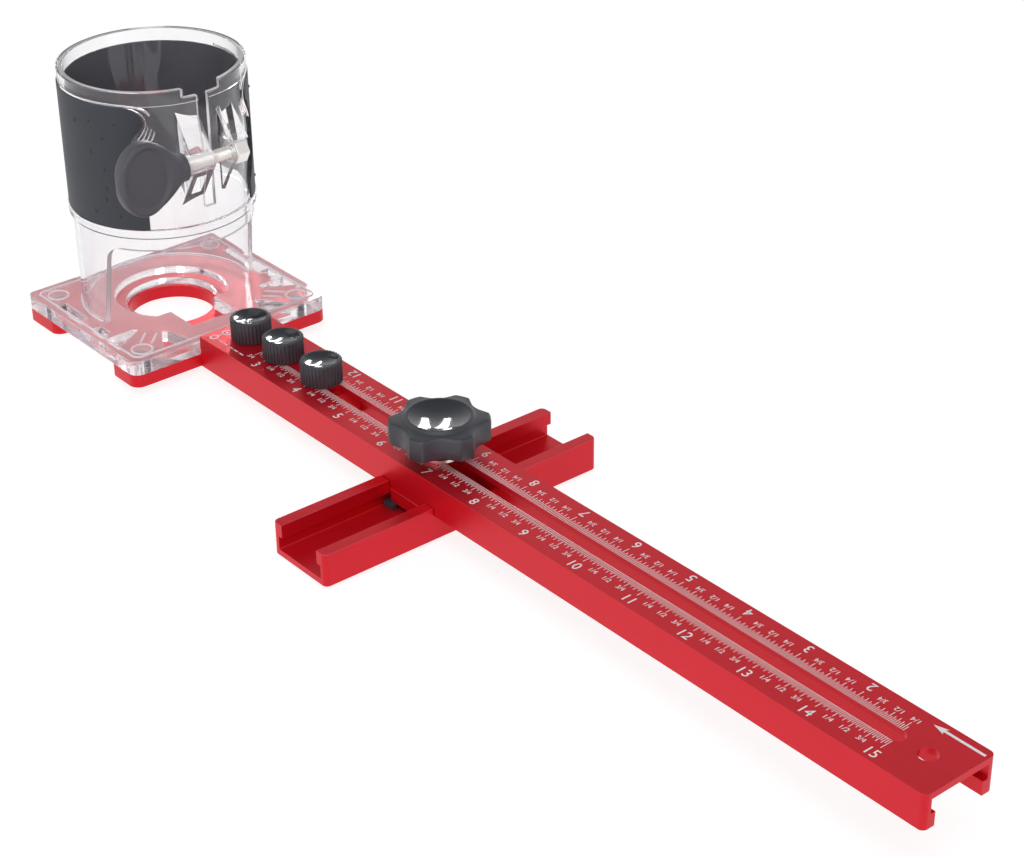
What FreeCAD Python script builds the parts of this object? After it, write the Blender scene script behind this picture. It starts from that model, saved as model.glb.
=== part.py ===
import FreeCAD
import Part

import math
import os

import Sketcher

# Router circle cutting jig: a clear plastic router sleeve on a red aluminium
# plate, a slotted and graduated red bar bolted to that plate, and a fence
# channel that slides along the bar under a star knob.
#
# X runs along the bar, away from the cutter. Y runs across it and Z points up.
# The origin is the cutter's axis at the underside of the bar and the plate.
# Lengths are in millimetres.

SIZES = {
    # The extrusion that the bar and the fence are both cut from
    "bar_width": 29.5,
    "bar_height": 12.5,
    "bar_web": 2.3,
    "bar_wall": 2.8,
    "lip_overhang": 2.0,
    "lip_height": 5.0,
    "end_corner": 2.0,

    # Main bar, with its slot, knob holes and pivot hole
    "bar_start": 42.5,
    "bar_length": 360.0,
    "slot_lead": 5.1,
    "slot_margin": 21.2,
    "slot_width": 6.0,
    "pivot_margin": 12.3,
    "pivot_bore": 6.35,
    "knob_one_x": 55.55,
    "knob_two_x": 76.45,
    "knob_margin": 10.1,

    # Red router plate and the tongue that the bar slides over
    "plate_back": 35.0,
    "plate_width": 87.5,
    "plate_thick": 5.0,
    "plate_front_corner": 4.2,
    "plate_back_corner": 2.5,
    "cutter_bore": 32.9,
    "notch_back": 14.5,
    "notch_front": 24.5,
    "notch_depth": 6.0,
    "notch_corner": 4.0,
    "tongue_end": 110.5,
    "tongue_gap": 0.1,

    # Clear base: the ribbed plate
    "base_thick": 5.8,
    "base_floor": 1.4,
    "base_rim": 3.6,
    "base_bore": 35.4,
    "base_ring": 4.3,
    "inner_floor": 3.0,
    "mouth_width": 20.0,
    "mouth_end": 30.5,
    "boss_radius": 5.0,
    "boss_front_x": 34.5,
    "boss_front_y": 35.0,
    "boss_back_x": 25.5,
    "boss_back_y": 35.5,
    "panel_back": 17.5,
    "panel_middle_back": 1.0,
    "panel_middle_front": 8.0,
    "panel_front": 15.1,
    "panel_gap": 2.4,
    "rib_width": 3.4,
    "flare_foot": 13.0,
    "flare_head": 19.0,

    # Clear base: the sleeve that holds the router's motor
    "motor_bore": 65.0,
    "sleeve_wall": 1.8,
    "sleeve_top": 106.8,
    "rim_out": 0.7,
    "rim_depth": 5.3,
    "ledge_out": 1.4,
    "ledge_depth": 3.5,
    "window_top": 44.0,
    "window_foot_x": 6.7,
    "window_head_x": 11.5,
    "window_corner": 6.0,
    "slit_width": 4.5,
    "slit_foot": 59.0,
    "rim_notch_width": 16.0,
    "rim_notch_depth": 3.5,
    "ear_reach": 9.0,
    "boss_reach": 11.6,
    "ear_skin": 2.4,
    "ear_root_x": 30.4,
    "ear_head_z": 101.5,
    "ear_foot_z": 58.5,
    "far_ear_start": 5.4,
    "far_ear_reach": 1.75,
    "hood_reach": 6.5,
    "hood_gap": 4.7,
    "clamp_x": 39.5,
    "clamp_z": 80.3,
    "clamp_boss": 4.2,

    # Rubber grip round the sleeve
    "grip_thick": 1.0,
    "grip_gap": 0.1,
    "grip_foot": 53.0,
    "grip_top": 101.3,
    "grip_opening": 45.0,
    "grip_scoop": 28.0,
    "grip_scoop_z": 77.0,
    "grip_corner": 5.0,

    # Clamp screw, its wing knob and its nut
    "rod_radius": 2.5,
    "rod_gap": 0.2,
    "rod_out": 0.8,
    "rod_in": 9.0,
    "wing_neck": 5.3,
    "wing_neck_length": 2.4,
    "wing_centre_y": 30.7,
    "wing_half_width": 10.9,
    "wing_half_height": 14.3,
    "wing_thick": 6.0,
    "wing_bulge": 4.2,
    "wing_flare": 8.8,
    "wing_flare_y": 20.2,
    "wing_spread": 12.4,
    "wing_spread_y": 26.0,
    "clamp_nut_flats": 8.6,
    "clamp_nut_thick": 5.1,

    # Thumb knobs and their studs
    "thumb_radius": 7.7,
    "thumb_height": 8.6,
    "thumb_flutes": 34,
    "flute_radius": 0.45,
    "flute_head": 1.7,
    "thumb_rim": 1.6,
    "thumb_recess": 2.4,
    "thumb_dish": 1.1,
    "stud_radius": 2.5,
    "stud_foot": 2.0,
    "stud_grip": 5.0,
    "stud_gap": 0.08,
    "stud_way": 0.4,
    "seat_gap": 0.05,

    # Fence channel and what sits under the bar
    "fence_x": 169.6,
    "fence_length": 118.8,
    "fence_shift": 0.9,
    "fence_top": 3.0,
    "fence_notch_gap": 0.15,
    "fence_head_thick": 2.0,
    "fence_head_width": 12.0,
    "fence_head_length": 26.0,
    "block_width": 19.6,
    "block_gap": 0.05,
    "pad_width": 5.2,
    "pad_length": 33.0,
    "fence_bolt_radius": 2.5,
    "fence_bolt_short": 1.0,

    # Star knob, its washer, insert and cap
    "washer_radius": 7.5,
    "washer_thick": 1.5,
    "hub_radius": 8.5,
    "hub_height": 4.0,
    "star_radius": 17.6,
    "star_height": 9.8,
    "star_fall": 1.4,
    "star_lobes": 6,
    "star_turn": -6.0,
    "star_valley": 14.6,
    "valley_radius": 9.0,
    "lobe_corner": 2.6,
    "star_lip": 11.9,
    "star_cap_radius": 10.9,
    "star_recess": 4.0,
    "star_dish": 2.5,
    "insert_flats": 9.0,
    "insert_height": 9.0,

    # Countersunk screws that join the two plates
    "screw_radius": 1.9,
    "screw_head": 3.9,
    "screw_head_depth": 2.2,
    "screw_length": 8.8,
    "screw_gap": 0.15,
}

doc = FreeCAD.newDocument("circle_jig")
sheet = doc.addObject("Spreadsheet::Sheet", "Sizes")


class Size:
    """A length held both as a number and as the sheet expression behind it."""

    def __init__(self, text, number):
        self.text = text
        self.number = number

    def __add__(self, other):
        other = as_size(other)
        return Size(f"({self.text} + {other.text})", self.number + other.number)

    def __sub__(self, other):
        other = as_size(other)
        return Size(f"({self.text} - {other.text})", self.number - other.number)

    def __mul__(self, other):
        other = as_size(other)
        return Size(f"({self.text} * {other.text})", self.number * other.number)

    def __truediv__(self, other):
        other = as_size(other)
        return Size(f"({self.text} / {other.text})", self.number / other.number)

    def __pow__(self, power):
        return Size(f"({self.text} ^ {power})", self.number ** power)

    def __neg__(self):
        return Size(f"(0 - {self.text})", -self.number)


def as_size(value):
    return value if isinstance(value, Size) else Size(repr(float(value)), float(value))


def smaller(one, other):
    """The lesser of two sizes."""
    one, other = as_size(one), as_size(other)
    return Size(f"min({one.text}; {other.text})", min(one.number, other.number))


class Dimensions:
    """The sheet's sizes by name."""


dim = Dimensions()
for row, (name, number) in enumerate(SIZES.items(), 1):
    sheet.set(f"A{row}", name)
    sheet.set(f"B{row}", str(number))
    sheet.setAlias(f"B{row}", name)
    setattr(dim, name, Size(f"Sizes.{name}", float(number)))
doc.recompute()

# Sizes that several pieces share
half_bar = dim.bar_width / 2
channel = half_bar - dim.bar_wall
mouth = channel - dim.lip_overhang
bar_end = dim.bar_start + dim.bar_length
half_plate = dim.plate_width / 2
base_top = dim.plate_thick + dim.base_thick
sleeve_bore = dim.motor_bore / 2
sleeve_out = sleeve_bore + dim.sleeve_wall
half_slit = dim.slit_width / 2
ear_face = half_slit + dim.boss_reach
far_ear_face = dim.far_ear_start + dim.far_ear_reach
fence_floor = dim.fence_top - dim.bar_height + dim.bar_web
fence_foot = dim.fence_top - dim.bar_height
half_fence = dim.fence_length / 2
end_round = smaller(dim.end_corner, dim.bar_wall - 0.1)
knob_seat = dim.bar_height + dim.seat_gap
washer_top = knob_seat + dim.washer_thick
hub_foot = washer_top + dim.seat_gap
fence_bolt_top = hub_foot + dim.insert_height - dim.fence_bolt_short
knob_three_x = dim.tongue_end - dim.knob_margin
knob_places = (dim.knob_one_x, dim.knob_two_x, knob_three_x)
slot_start = knob_three_x + dim.slot_lead
slot_end = bar_end - dim.slot_margin
screw_places = (
    (dim.boss_front_x, dim.boss_front_y),
    (dim.boss_front_x, -dim.boss_front_y),
    (-dim.boss_back_x, dim.boss_back_y),
    (-dim.boss_back_x, -dim.boss_back_y),
)


def bind(item, **sizes):
    """Tie properties of an object to sizes; a double underscore is a dot."""
    for name, value in sizes.items():
        item.setExpression(name.replace("__", "."), as_size(value).text)


def place(item, x=0, y=0, z=0):
    bind(item, Placement__Base__x=x, Placement__Base__y=y, Placement__Base__z=z)


def origin_part(body, role):
    return next(part for part in body.Origin.OriginFeatures if part.Role == role)


def new_body(label):
    body = doc.addObject("PartDesign::Body", label)
    body.Label = label
    return body


def new_sketch(body, name, role, height=0):
    """A sketch on one of the body's origin planes, lifted along its normal."""
    sketch = body.newObject("Sketcher::SketchObject", f"{body.Name}_{name}")
    sketch.AttachmentSupport = (origin_part(body, role), [""])
    sketch.MapMode = "FlatFace"
    bind(sketch, AttachmentOffset__Base__z=height)
    return sketch


def fix_point(sketch, index, end, x, y):
    """Hold a point of the sketch at its distances from the origin."""
    for kind, value in (("DistanceX", as_size(x)), ("DistanceY", as_size(y))):
        place_at = sketch.addConstraint(Sketcher.Constraint(kind, -1, 1, index, end, value.number))
        sketch.setExpression(f"Constraints[{place_at}]", value.text)


def draw_outline(sketch, corners):
    """A closed outline of straight edges through the given corners."""
    corners = [(as_size(x), as_size(y)) for x, y in corners]
    first = sketch.GeometryCount
    points = [FreeCAD.Vector(x.number, y.number, 0) for x, y in corners]
    for start, end in zip(points, points[1:] + points[:1]):
        sketch.addGeometry(Part.LineSegment(start, end), False)
    for step, (x, y) in enumerate(corners):
        following = first + (step + 1) % len(corners)
        sketch.addConstraint(Sketcher.Constraint("Coincident", first + step, 2, following, 1))
        fix_point(sketch, first + step, 1, x, y)


def draw_circle(sketch, x, y, radius):
    x, y, radius = as_size(x), as_size(y), as_size(radius)
    centre = FreeCAD.Vector(x.number, y.number, 0)
    index = sketch.addGeometry(Part.Circle(centre, FreeCAD.Vector(0, 0, 1), radius.number), False)
    place_at = sketch.addConstraint(Sketcher.Constraint("Radius", index, radius.number))
    sketch.setExpression(f"Constraints[{place_at}]", radius.text)
    fix_point(sketch, index, 3, x, y)


def draw_rectangle(sketch, left, right, low, high):
    draw_outline(sketch, [(left, low), (right, low), (right, high), (left, high)])


def pad(body, sketch, length, back=False):
    feature = body.newObject("PartDesign::Pad", f"{sketch.Name}_pad")
    feature.Profile = sketch
    feature.Reversed = back
    bind(feature, Length=length)
    body.Tip = feature
    return feature


def check_built(item):
    if "Invalid" in item.State or "Error" in item.State:
        raise ValueError(f"{item.Label} failed: {item.State}")


def cut(body, sketch, length, forward=False):
    """A pocket against the sketch's normal, or along it; it must remove something."""
    doc.recompute()
    before = body.Shape.Volume
    feature = body.newObject("PartDesign::Pocket", f"{sketch.Name}_pocket")
    feature.Profile = sketch
    feature.Reversed = forward
    bind(feature, Length=length)
    body.Tip = feature
    doc.recompute()
    check_built(feature)
    if body.Shape.Volume > before - 1e-6:
        raise ValueError(f"{feature.Name} removes nothing")
    return feature


def spin(body, sketch, kind="PartDesign::Revolution"):
    """Turn the sketch about its own vertical axis."""
    feature = body.newObject(kind, f"{sketch.Name}_turned")
    feature.Profile = sketch
    feature.ReferenceAxis = (sketch, ["V_Axis"])
    feature.Angle = 360
    body.Tip = feature
    return feature


def repeat(body, feature, count):
    """Copies of a feature round the body's Z axis."""
    pattern = body.newObject("PartDesign::PolarPattern", f"{feature.Name}_round")
    pattern.Originals = [feature]
    pattern.Axis = (origin_part(body, "Z_Axis"), [""])
    pattern.Angle = 360
    bind(pattern, Occurrences=count)
    body.Tip = pattern
    doc.recompute()
    return pattern


def round_edges(body, radius, wanted):
    """Fillet the edges of the body so far that the test picks."""
    doc.recompute()
    base = body.Tip
    names = [f"Edge{index}" for index, edge in enumerate(base.Shape.Edges, 1) if wanted(edge)]
    if not names:
        raise ValueError(f"{body.Label} has no edge to round")
    feature = body.newObject("PartDesign::Fillet", f"{base.Name}_rounded")
    feature.Base = (base, names)
    bind(feature, Radius=radius)
    body.Tip = feature
    doc.recompute()
    check_built(feature)
    return feature


def is_upright(edge):
    box = edge.BoundBox
    return box.XLength < 1e-4 and box.YLength < 1e-4 and box.ZLength > 1e-3


def edge_middle(edge):
    return edge.valueAt((edge.FirstParameter + edge.LastParameter) / 2)


def corner_test(x, y, low, high):
    """True for an upright edge at (x, y), whose middle lies between two heights."""
    x, y = as_size(x).number, as_size(y).number
    low, high = as_size(low).number, as_size(high).number

    def wanted(edge):
        middle = edge_middle(edge)
        near = abs(middle.x - x) < 1e-3 and abs(abs(middle.y) - y) < 1e-3
        return is_upright(edge) and near and low < middle.z < high
    return wanted


def bound(kind, name, **sizes):
    """A primitive solid with its sizes tied to the sheet."""
    item = doc.addObject(kind, name)
    bind(item, **sizes)
    return item


def cylinder(name, radius, height, x=0, y=0, z=0, along="z"):
    item = bound("Part::Cylinder", name, Radius=radius, Height=height)
    turns = {"x": (FreeCAD.Vector(0, 1, 0), 90), "y": (FreeCAD.Vector(1, 0, 0), -90)}
    if along in turns:
        item.Placement.Rotation = FreeCAD.Rotation(*turns[along])
    place(item, x, y, z)
    return item


def box(name, length, width, height, x=0, y=0, z=0):
    """A box that stands on height z, centred on (x, y)."""
    length, width = as_size(length), as_size(width)
    item = bound("Part::Box", name, Length=length, Width=width, Height=height)
    place(item, as_size(x) - length / 2, as_size(y) - width / 2, z)
    return item


def subtract(label, base, tool):
    item = doc.addObject("Part::Cut", label)
    item.Label = label
    item.Base = base
    item.Tool = tool
    return item


def union(label, *pieces):
    item = doc.addObject("Part::MultiFuse", label)
    item.Label = label
    item.Shapes = list(pieces)
    return item


def overlap(label, one, other):
    item = doc.addObject("Part::MultiCommon", label)
    item.Label = label
    item.Shapes = [one, other]
    return item


def draw_channel(sketch, middle, low, high, way):
    """The extrusion's section: a C of three walls with two lips.

    The web lies on height high and the lips on low; way is 1 where the web is
    on top and -1 where the channel lies on its back.
    """
    lip = low + dim.lip_height * way
    web = high - dim.bar_web * way
    draw_outline(sketch, [
        (middle - half_bar, low), (middle - half_bar, high),
        (middle + half_bar, high), (middle + half_bar, low),
        (middle + mouth, low), (middle + mouth, lip),
        (middle + channel, lip), (middle + channel, web),
        (middle - channel, web), (middle - channel, lip),
        (middle - mouth, lip), (middle - mouth, low),
    ])


def make_main_bar():
    """The graduated bar: an inverted C with a long slot and four holes."""
    body = new_body("main_bar")
    section = new_sketch(body, "section", "YZ_Plane", dim.bar_start)
    draw_channel(section, as_size(0), as_size(0), dim.bar_height, 1)
    pad(body, section, dim.bar_length)

    half_slot = dim.slot_width / 2
    slot = new_sketch(body, "slot", "XY_Plane", dim.bar_height)
    draw_rectangle(slot, slot_start + half_slot, slot_end - half_slot, -half_slot, half_slot)
    cut(body, slot, dim.bar_web)
    ends = new_sketch(body, "slot_ends", "XY_Plane", dim.bar_height)
    draw_circle(ends, slot_start + half_slot, 0, half_slot)
    draw_circle(ends, slot_end - half_slot, 0, half_slot)
    cut(body, ends, dim.bar_web)

    holes = new_sketch(body, "holes", "XY_Plane", dim.bar_height)
    draw_circle(holes, bar_end - dim.pivot_margin, 0, dim.pivot_bore / 2)
    for x in knob_places:
        draw_circle(holes, x, 0, dim.stud_radius + dim.stud_way)
    cut(body, holes, dim.bar_web)

    round_edges(body, end_round, corner_test(bar_end, half_bar, 0, dim.bar_height))


def make_router_plate():
    """The red plate under the base, with the tongue that carries the bar."""
    body = new_body("router_plate")
    outline = new_sketch(body, "outline", "XY_Plane")
    inner = half_plate - dim.notch_depth
    corners = [
        (-dim.plate_back, -half_plate), (-dim.notch_back, -half_plate),
        (-dim.notch_back, -inner), (dim.notch_front, -inner),
        (dim.notch_front, -half_plate), (dim.bar_start, -half_plate),
    ]
    corners += [(x, -y) for x, y in reversed(corners)]
    draw_outline(outline, corners)
    pad(body, outline, dim.plate_thick)

    neck = new_sketch(body, "tongue_neck", "XY_Plane")
    side = mouth - dim.tongue_gap
    draw_rectangle(neck, dim.bar_start - 1, dim.bar_start + 1, -side, side)
    pad(body, neck, dim.plate_thick)
    head = new_sketch(body, "tongue_head", "XY_Plane", dim.lip_height + dim.tongue_gap)
    side = channel - dim.tongue_gap
    draw_rectangle(head, dim.bar_start + dim.tongue_gap, dim.tongue_end, -side, side)
    head_top = dim.bar_height - dim.bar_web - dim.tongue_gap
    pad(body, head, head_top - dim.lip_height - dim.tongue_gap)
    root = new_sketch(body, "tongue_root", "XY_Plane")
    side = mouth - dim.tongue_gap
    draw_rectangle(root, dim.bar_start + dim.tongue_gap, dim.tongue_end, -side, side)
    pad(body, root, head_top)

    bore = new_sketch(body, "cutter_bore", "XY_Plane", dim.plate_thick)
    draw_circle(bore, 0, 0, dim.cutter_bore / 2)
    cut(body, bore, dim.plate_thick)
    threads = new_sketch(body, "stud_holes", "XY_Plane", head_top)
    for x in knob_places:
        draw_circle(threads, x, 0, dim.stud_radius + dim.stud_gap)
    cut(body, threads, head_top)
    holes = new_sketch(body, "screw_holes", "XY_Plane", dim.plate_thick)
    for x, y in screw_places:
        draw_circle(holes, x, y, dim.screw_radius + dim.screw_gap)
    cut(body, holes, dim.plate_thick)
    sinks = new_sketch(body, "screw_seats", "XY_Plane", dim.screw_head_depth + dim.screw_gap)
    for x, y in screw_places:
        draw_circle(sinks, x, y, dim.screw_head + dim.screw_gap)
    cut(body, sinks, dim.screw_head_depth + dim.screw_gap)

    top = dim.plate_thick
    round_edges(body, dim.plate_front_corner, corner_test(dim.bar_start, half_plate, 0, top))
    round_edges(body, dim.plate_back_corner, corner_test(-dim.plate_back, half_plate, 0, top))
    lip = smaller(dim.notch_corner, dim.notch_depth - 0.5)
    round_edges(body, lip, corner_test(dim.notch_front, half_plate, 0, top))
    round_edges(body, lip, corner_test(-dim.notch_back, half_plate, 0, top))


def make_clear_base():
    """The clear moulding: a ribbed plate, and on it the split motor sleeve."""
    body = new_body("clear_base")
    slab = new_sketch(body, "slab", "XY_Plane", dim.plate_thick)
    draw_rectangle(slab, -dim.plate_back, dim.bar_start, -half_plate, half_plate)
    pad(body, slab, dim.base_thick)
    top = base_top
    low = dim.plate_thick
    round_edges(body, dim.plate_front_corner, corner_test(dim.bar_start, half_plate, low, top))
    round_edges(body, dim.plate_back_corner, corner_test(-dim.plate_back, half_plate, low, top))

    panels = new_sketch(body, "panels", "XY_Plane", top)
    rim_y = half_plate - dim.base_rim
    rim_x = dim.bar_start - dim.base_rim
    side_in = sleeve_out + dim.panel_gap
    rib_front = dim.panel_front + dim.rib_width
    boss_clear = dim.boss_radius + dim.rib_width / 2
    for side in (1, -1):
        draw_rectangle(panels, -dim.panel_back, -dim.panel_middle_back, rim_y * side, side_in * side)
        draw_rectangle(panels, dim.panel_middle_front, dim.panel_front, rim_y * side, side_in * side)
        draw_outline(panels, [
            (rib_front, rim_y * side),
            (dim.boss_front_x - boss_clear, rim_y * side),
            (rib_front, (dim.flare_head + boss_clear) * side),
        ])
        draw_outline(panels, [
            (rim_x, (dim.flare_foot + dim.rib_width) * side),
            (rim_x, (dim.boss_front_y - boss_clear) * side),
            (rib_front + dim.rib_width * 2, (dim.flare_head + dim.rib_width / 2) * side),
        ])
    cut(body, panels, dim.base_thick - dim.base_floor)
    seat = new_sketch(body, "sleeve_seat", "XY_Plane", dim.plate_thick)
    draw_circle(seat, 0, 0, sleeve_out)
    pad(body, seat, dim.base_thick)

    floor = new_sketch(body, "inner_floor", "XY_Plane", top)
    draw_circle(floor, 0, 0, dim.base_bore / 2 + dim.base_ring)
    cut(body, floor, dim.base_thick - dim.inner_floor)

    bosses = new_sketch(body, "bosses", "XY_Plane", dim.plate_thick)
    for x, y in screw_places:
        draw_circle(bosses, x, y, dim.boss_radius)
    pad(body, bosses, dim.base_thick)
    for side in (1, -1):
        flare = new_sketch(body, f"flare_{'far' if side > 0 else 'near'}", "XY_Plane", dim.plate_thick)
        draw_outline(flare, [
            (rib_front - dim.rib_width, dim.flare_head * side),
            (rim_x, dim.flare_foot * side),
            (rim_x, dim.mouth_width / 2 * side),
            (rib_front - dim.rib_width, dim.mouth_width / 2 * side),
        ])
        pad(body, flare, dim.base_thick)

    profile = new_sketch(body, "sleeve", "XZ_Plane")
    root = top - dim.base_floor
    rim_foot = dim.sleeve_top - dim.rim_depth
    ledge = sleeve_out + dim.ledge_out
    draw_outline(profile, [
        (sleeve_bore, root), (sleeve_out, root),
        (sleeve_out, dim.grip_foot - dim.ledge_depth), (ledge, dim.grip_foot - dim.ledge_depth),
        (ledge, dim.grip_foot), (sleeve_out, dim.grip_foot),
        (sleeve_out, rim_foot), (sleeve_out + dim.rim_out, rim_foot),
        (sleeve_out + dim.rim_out, dim.sleeve_top), (sleeve_bore, dim.sleeve_top),
    ])
    spin(body, profile)

    add_ear(body, "near", half_slit, dim.ear_reach, dim.boss_reach, False)
    add_ear(body, "far", -dim.far_ear_start, dim.far_ear_reach, dim.far_ear_reach, True)
    slot = new_sketch(body, "ear_slot", "XZ_Plane", half_slit + dim.ear_skin)
    below = dim.clamp_z - dim.clamp_boss - dim.ear_skin / 2
    inner = sleeve_out + dim.ear_skin / 2
    draw_outline(slot, [
        (inner, below), (dim.clamp_x + dim.clamp_boss, below),
        (dim.clamp_x + dim.clamp_boss, dim.ear_foot_z), (inner, dim.ear_foot_z),
    ])
    cut(body, slot, dim.ear_reach - dim.ear_skin * 2, forward=True)
    hood = new_sketch(body, "nut_hood", "XZ_Plane", -far_ear_face)
    draw_outline(hood, [
        (dim.ear_root_x, dim.clamp_z + dim.hood_gap),
        (dim.clamp_x + dim.clamp_boss / 2, dim.clamp_z + dim.hood_gap),
        (dim.ear_root_x, dim.ear_head_z - dim.hood_gap),
    ])
    pad(body, hood, dim.hood_reach, back=True)

    bore = new_sketch(body, "motor_bore", "XY_Plane", dim.sleeve_top)
    draw_circle(bore, 0, 0, sleeve_bore)
    cut(body, bore, dim.sleeve_top - base_top)

    beyond = dim.clamp_x + dim.clamp_boss * 2
    slit = new_sketch(body, "slit", "XY_Plane", dim.sleeve_top)
    draw_rectangle(slit, 0, beyond, -half_slit, half_slit)
    cut(body, slit, dim.sleeve_top - dim.slit_foot)
    rim_notch = new_sketch(body, "rim_notch", "XY_Plane", dim.sleeve_top)
    draw_rectangle(rim_notch, 0, beyond, -dim.rim_notch_width / 2, dim.rim_notch_width / 2)
    cut(body, rim_notch, dim.rim_notch_depth)

    cut_window(body, beyond)

    hole = new_sketch(body, "base_bore", "XY_Plane", top)
    draw_circle(hole, 0, 0, dim.base_bore / 2)
    cut(body, hole, dim.base_thick)
    gap = new_sketch(body, "mouth", "XY_Plane", top)
    draw_rectangle(gap, 0, dim.mouth_end, -dim.mouth_width / 2, dim.mouth_width / 2)
    cut(body, gap, dim.base_thick)
    pilots = new_sketch(body, "screw_pilots", "XY_Plane", dim.plate_thick)
    for x, y in screw_places:
        draw_circle(pilots, x, y, dim.screw_radius + dim.screw_gap)
    cut(body, pilots, dim.screw_length - dim.plate_thick + dim.screw_gap, forward=True)
    rod = new_sketch(body, "rod_hole", "XZ_Plane", -beyond)
    draw_circle(rod, dim.clamp_x, dim.clamp_z, dim.rod_radius + dim.rod_gap)
    cut(body, rod, beyond * 2, forward=True)


def add_ear(body, hand, start, reach, boss_reach, back):
    """A wedge on the sleeve with the boss that the clamp screw passes through."""
    front = dim.clamp_x + dim.clamp_boss * 0.6
    ear = new_sketch(body, f"ear_{hand}", "XZ_Plane", start)
    draw_outline(ear, [
        (dim.ear_root_x, dim.ear_foot_z), (front, dim.clamp_z - dim.clamp_boss * 0.8),
        (front, dim.clamp_z + dim.clamp_boss * 0.8), (dim.ear_root_x, dim.ear_head_z),
    ])
    pad(body, ear, reach, back=back)
    boss = new_sketch(body, f"clamp_boss_{hand}", "XZ_Plane", start)
    draw_circle(boss, dim.clamp_x, dim.clamp_z, dim.clamp_boss)
    pad(body, boss, boss_reach, back=back)


def cut_window(body, beyond):
    """The open front of the sleeve: its edges lean back and its corner is round."""
    slant = (dim.window_head_x - dim.window_foot_x) / (dim.window_top - base_top)
    length = (slant * slant + 1) ** 0.5
    centre_x = dim.window_head_x - slant * dim.window_corner + length * dim.window_corner
    centre_z = dim.window_top - dim.window_corner
    window = new_sketch(body, "window", "XZ_Plane", -beyond)
    draw_outline(window, [
        (dim.window_foot_x, base_top), (beyond, base_top), (beyond, dim.window_top),
        (centre_x, dim.window_top),
        (centre_x - dim.window_corner / length, centre_z + dim.window_corner * slant / length),
    ])
    cut(body, window, beyond * 2, forward=True)
    corner = new_sketch(body, "window_corner", "XZ_Plane", -beyond)
    draw_circle(corner, centre_x, centre_z, dim.window_corner)
    cut(body, corner, beyond * 2, forward=True)


def make_grip():
    """The rubber grip: a thin band round the back, scooped out at the front."""
    inside = sleeve_out + dim.grip_gap
    height = dim.grip_top - dim.grip_foot
    outer = cylinder("grip_outer", inside + dim.grip_thick, height, z=dim.grip_foot)
    inner = cylinder("grip_inner", inside, height, z=dim.grip_foot)
    band = subtract("grip_band", outer, inner)
    scoop = cylinder("grip_scoop_tool", dim.grip_scoop, inside * 2, z=dim.grip_scoop_z, along="x")
    front = box("grip_front_tool", inside * 2, dim.grip_opening, height * 2,
                inside, 0, dim.grip_foot - height / 2)
    tools = [scoop, front]
    corner = dim.grip_corner
    for side in (1, -1):
        y = (dim.grip_opening / 2 + corner / 2) * side
        square = box(f"grip_square_{side}", inside * 2, corner, corner, inside, y, dim.grip_top - corner)
        y = (dim.grip_opening / 2 + corner) * side
        disc = cylinder(f"grip_disc_{side}", corner, inside * 2, 0, y, dim.grip_top - corner, along="x")
        tools.append(subtract(f"grip_corner_{side}", square, disc))
    subtract("grip_sleeve", band, union("grip_tools", *tools))


def make_base_screws():
    """Four countersunk screws that come up through the plate into the bosses."""
    pieces = []
    for index, (x, y) in enumerate(screw_places, 1):
        shank = cylinder(f"screw_shank_{index}", dim.screw_radius, dim.screw_length, x, y, 0)
        head = bound("Part::Cone", f"screw_head_{index}", Radius1=dim.screw_head,
                     Radius2=dim.screw_radius, Height=dim.screw_head_depth)
        place(head, x, y, 0)
        socket = bound("Part::Prism", f"screw_socket_{index}", Circumradius=dim.screw_radius * 0.8,
                       Height=dim.screw_head_depth * 0.6)
        place(socket, x, y, 0)
        solid = union(f"screw_solid_{index}", shank, head)
        pieces.append(subtract(f"screw_{index}", solid, socket))
    group = doc.addObject("Part::Compound", "base_screws")
    group.Label = "base_screws"
    group.Links = pieces


def make_clamp():
    """The rod through the sleeve's ears, its nut, and the wing knob on its end."""
    rod_start = -(ear_face + dim.rod_in)
    nut_face = far_ear_face + dim.seat_gap
    cylinder("clamp_rod", dim.rod_radius, nut_face + dim.clamp_nut_thick + dim.rod_out - rod_start,
             dim.clamp_x, rod_start, dim.clamp_z, along="y")

    across = dim.clamp_nut_flats / (2 * math.cos(math.pi / 6))
    hexagon = bound("Part::Prism", "clamp_nut_body", Circumradius=across, Height=dim.clamp_nut_thick)
    hexagon.Placement.Rotation = FreeCAD.Rotation(FreeCAD.Vector(1, 0, 0), -90)
    place(hexagon, dim.clamp_x, nut_face, dim.clamp_z)
    thread = cylinder("clamp_nut_thread", dim.rod_radius + dim.stud_gap, dim.clamp_nut_thick,
                      dim.clamp_x, nut_face, dim.clamp_z, along="y")
    subtract("clamp_nut", hexagon, thread)

    make_wing_knob()


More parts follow.
